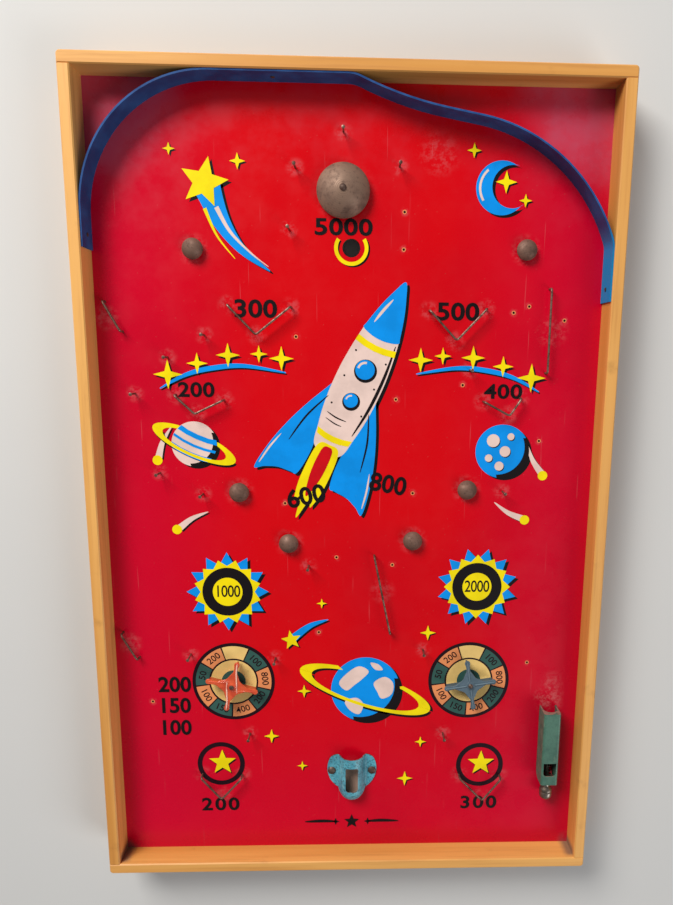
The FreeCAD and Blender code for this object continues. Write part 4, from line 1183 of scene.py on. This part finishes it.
def moulded(name, base, deep, crest_highlight, roughness, coat, pivot):
    """Moulded plastic, with a painted highlight on its ridge tops and painted shade on its vanes below the
    plate.
    """
    crest_level = FACE + SPINNER_TOP
    plastic = Surface(name, base, roughness=roughness, coat=coat, coat_roughness=0.12)
    cloud = plastic.noise(120.0, 4.0, 0.6)
    plastic.cover(plastic.ramp(cloud, 0.35, 0.68), deep)
    height = plastic.axis("Z")
    # Painted highlight: the ridge tops away from the hub take a paler colour.
    crest = plastic.ramp(height, (crest_level + 0.22) * MM, (crest_level + 0.55) * MM)
    outside = plastic.ramp(plastic.distance(pivot.x, pivot.y), 3.5 * MM, 4.0 * MM, 0.0, 0.85)
    plastic.cover(plastic.times(crest, outside), crest_highlight)
    # Painted shade: the vanes and hub grow darker below the plate.
    under = plastic.ramp(height, (crest_level - 1.3) * MM, (crest_level - 5.0) * MM, 0.0, 0.45)
    plastic.cover(under, toned(deep, 0.4))
    plastic.gloss(plastic.ramp(cloud, 0.3, 0.7, roughness * 0.85, roughness * 1.2))
    plastic.bump(plastic.noise(500.0, 4.0), 0.00003)
    return plastic.material


ORANGE_PLASTIC = moulded(
    "orange_vane", colour(226, 92, 52), colour(196, 66, 36), colour(255, 200, 176), 0.28, 0.5, PIVOTS["left"]
)
BLUE_PLASTIC = moulded(
    "blue_vane", colour(86, 105, 117), colour(70, 90, 102), colour(100, 120, 131), 0.6, 0.05, PIVOTS["right"]
)
star_spinner("left", -14.0, -4.4, ORANGE_PLASTIC)
star_spinner("right", 8.7, 0.0, BLUE_PLASTIC)
PIVOT_NAIL = nail_profile(1.0, 1.8, 1.2, SPINNER_TOP + 1.05)
WASHER = [(1.05, 0.02), (3.9, 0.02), (4.0, 0.2), (4.0, 1.3), (3.85, 1.5), (1.2, 1.5), (1.05, 1.35)]
WASHER += [WASHER[0]]
for side, pivot in PIVOTS.items():
    nails("pivot_%s_nail" % side, "spinner_%s_pivot" % side, [(pivot.x, pivot.y)], PIVOT_NAIL)
    washer = lathe("washer", WASHER, (pivot.x, pivot.y, FACE), 40)
    stand_in("washer_" + side, "spinner_%s_washer" % side, washer, STEEL)


# Return hood

HOOD_RADIUS = 10.2
HOOD_STRAIGHT = 28.6
HOOD_SHEET = 0.8
FLANGE_RADIUS = 19.6
FLANGE_BACK = 12.2
FLANGE_CORNER = 4.0
FILLET_RADIUS = 2.4
SLOT_WIDTH, SLOT_LENGTH, SLOT_FROM_MOUTH, SLOT_CORNER = 9.8, 20.4, 7.4, 2.0


def hood_section(reach):
    """Distance out and height from the ridge down over the fillet to the flange's edge."""
    fillet = min(FILLET_RADIUS, max(0.15, reach - HOOD_RADIUS - 0.5))
    centre = math.sqrt((HOOD_RADIUS + fillet) ** 2 - (HOOD_SHEET + fillet) ** 2)
    low = math.atan2(HOOD_SHEET + fillet, centre)
    points = []
    for step in range(15):
        angle = math.pi / 2 + (low - math.pi / 2) * step / 14
        points.append((HOOD_RADIUS * math.cos(angle), HOOD_RADIUS * math.sin(angle)))
    for step in range(1, 6):
        angle = low + math.pi + (math.pi / 2 - low) * step / 5
        points.append((centre + fillet * math.cos(angle), HOOD_SHEET + fillet + fillet * math.sin(angle)))
    reach = max(reach, centre + 0.2)
    points += [(centre + (reach - centre) * share, HOOD_SHEET) for share in (0.5, 1.0)]
    return points


def hood_stations(mouth_y):
    """Where each section stands along the axis, its heading, and how far out its flange reaches."""
    nose_y = mouth_y - HOOD_STRAIGHT
    flange_y = mouth_y - FLANGE_BACK
    right = []
    drops = (0.0, 0.35, 0.9, 1.8, 2.8, 4.0, 6.0, 8.5, 11.0, 14.0, 17.0, 20.0, 22.5, 25.0, 27.0)
    for drop in (*drops, HOOD_STRAIGHT):
        y = mouth_y - drop
        reach = math.sqrt(max(0.0, FLANGE_RADIUS**2 - (y - flange_y) ** 2))
        if drop < FLANGE_CORNER:
            reach -= FLANGE_CORNER - math.sqrt(FLANGE_CORNER**2 - (FLANGE_CORNER - drop) ** 2)
        right.append((y, 0.0, reach))
    nose = []
    gap = flange_y - nose_y
    for step in range(1, 20):
        angle = math.pi * step / 20
        inside = max(0.0, FLANGE_RADIUS**2 - (gap * math.cos(angle)) ** 2)
        nose.append((nose_y, angle, math.sqrt(inside) - gap * math.sin(angle)))
    left = [(y, math.pi, reach) for y, _, reach in reversed(right)]
    return right + nose + left


def hood_skin(axis_x, mouth_y):
    """The outer skin of the hood and its flange, one sheet without thickness."""
    stations = hood_stations(mouth_y)
    vertices, faces = [], []
    for y, angle, reach in stations:
        for out, height in hood_section(reach):
            vertices.append((axis_x + out * math.cos(angle), y - out * math.sin(angle), FACE + height))
    rows = len(hood_section(12.0))
    for index in range(len(stations) - 1):
        for row in range(rows - 1):
            a = index * rows + row
            faces.append((a, a + 1, a + rows + 1, a + rows))
    mesh = bpy.data.meshes.new("hood")
    mesh.from_pydata([Vector(point) * MM for point in vertices], [], faces)
    form = bmesh.new()
    form.from_mesh(mesh)
    bmesh.ops.remove_doubles(form, verts=form.verts, dist=1e-6)
    bmesh.ops.recalc_face_normals(form, faces=form.faces)
    ridge = max(form.faces, key=lambda face: face.calc_center_median().z)
    if ridge.normal.z < 0:
        bmesh.ops.reverse_faces(form, faces=form.faces)
    form.to_mesh(mesh)
    form.free()
    return mesh


def slot_knife(axis_x, slot_y):
    """A block with round corners that stands where the slot is cut."""
    half_w, half_l = SLOT_WIDTH / 2 - SLOT_CORNER, SLOT_LENGTH / 2 - SLOT_CORNER
    outline = []
    for corner_x, corner_y, start in ((1, 1, 0), (-1, 1, 90), (-1, -1, 180), (1, -1, 270)):
        for step in range(7):
            angle = math.radians(start + 15 * step)
            x = axis_x + corner_x * half_w + SLOT_CORNER * math.cos(angle)
            outline.append((x, slot_y + corner_y * half_l + SLOT_CORNER * math.sin(angle)))
    count = len(outline)
    points = [(x, y, FACE + level) for level in (2.0, 14.0) for x, y in outline]
    faces = [(k, (k + 1) % count, (k + 1) % count + count, k + count) for k in range(count)]
    faces += [tuple(reversed(range(count))), tuple(range(count, 2 * count))]
    return mesh_from("knife", points, faces, False)


def hood():
    """The pressed hood as sheet with its slot cut through."""
    low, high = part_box("return_hood")
    axis_x = (low.x + high.x) / 2 / MM
    mouth_y = high.y / MM
    shell = linked("hood_shell", hood_skin(axis_x, mouth_y))
    knife = linked("knife", slot_knife(axis_x, mouth_y - SLOT_FROM_MOUTH - SLOT_LENGTH / 2))
    thick = shell.modifiers.new("sheet", "SOLIDIFY")
    thick.thickness = HOOD_SHEET * MM
    thick.offset = -1.0
    thick.use_even_offset = True
    cut = shell.modifiers.new("slot", "BOOLEAN")
    cut.operation = "DIFFERENCE"
    cut.solver = "EXACT"
    cut.object = knife
    cover = evaluated(shell)
    cover.name = "hood_cover"
    cover.materials.clear()
    for leftover in (shell, knife):
        bpy.data.objects.remove(leftover)
    for polygon in cover.polygons:
        polygon.use_smooth = True
    return sharpen(cover, 40.0)


stand_in("hood_cover", "return_hood", hood(), TURQUOISE)


# Launcher

spring_low, spring_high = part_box("plunger_spring")
AXIS_X = (spring_low.x + spring_high.x) / 2 / MM
AXIS_Z = middle("plunger_rod").z
SPRING_TURNS = 8
SPRING_RADIUS = 3.0
SPRING_WIRE_RADIUS = 0.35
dress("launcher_housing", GREEN)
soften("launcher_housing", 0.3)
dress("plunger_hammer", STEEL)
soften("plunger_hammer", 0.25)
dress("plunger_rod", STEEL)


def spring_coil():
    """The compression spring as one smooth wire, drawn a little inside the solid's ends."""
    low, high = spring_low.y / MM + 0.4, spring_high.y / MM - 0.4
    steps = 26 * SPRING_TURNS
    route = []
    for step in range(1, steps):
        share = step / steps
        angle = 2 * math.pi * SPRING_TURNS * share
        y = low + (high - low) * (0.035 + 0.93 * share)
        across, up = SPRING_RADIUS * math.cos(angle), SPRING_RADIUS * math.sin(angle)
        route.append(Vector((AXIS_X + across, y, AXIS_Z + up)))
    return tube("launch_spring", route, SPRING_WIRE_RADIUS, 8)


spring = stand_in("launch_spring", "plunger_spring", spring_coil(), DARK_STEEL)
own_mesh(spring)
knob_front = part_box("plunger_knob")[1].y / MM
knob_profile = [
    (0.0, 0.4), (1.64, 0.4), (2.3, 0.0), (2.6, 0.1), (2.7, 0.4), (2.7, 4.4), (2.95, 5.1), (3.9, 6.1),
    (4.6, 7.1), (4.9, 8.3), (4.9, 9.3), (4.7, 9.6), (4.9, 9.9), (4.9, 12.6), (4.65, 13.9), (4.0, 14.9),
    (2.9, 15.55), (1.5, 15.85), (0.0, 15.9),
]
knob = lathe("pull_knob", knob_profile, (AXIS_X, knob_front, AXIS_Z), 48, "-Y")
stand_in("pull_knob", "plunger_knob", knob, STEEL, "plunger")


# Deflector strip

def strip_paint():
    """Worn blue paint, its right-hand tail brighter."""
    strip = Surface("blue_strip", colour(30, 62, 112), roughness=0.55, coat=0.0, shine=0.2)
    cloud = strip.noise(60.0, 4.0, 0.6)
    strip.tone = strip.blend(strip.ramp(cloud, 0.35, 0.7), colour(28, 66, 120), colour(44, 90, 150))
    tail = strip.times(strip.ramp(strip.axis("X"), 0.172, 0.178), strip.ramp(strip.axis("Y"), 0.215, 0.17))
    strip.cover(tail, colour(6, 126, 184))
    rub = strip.noise(300.0, 5.0, 0.7)
    strip.cover(strip.ramp(rub, 0.62, 0.74, 0.0, 0.4), colour(92, 108, 142))
    strip.gloss(strip.ramp(cloud, 0.3, 0.7, 0.38, 0.6))
    strip.bump(rub, 0.00004)
    return strip.material


dress("arch_strip", strip_paint())
soften("arch_strip", 0.25)
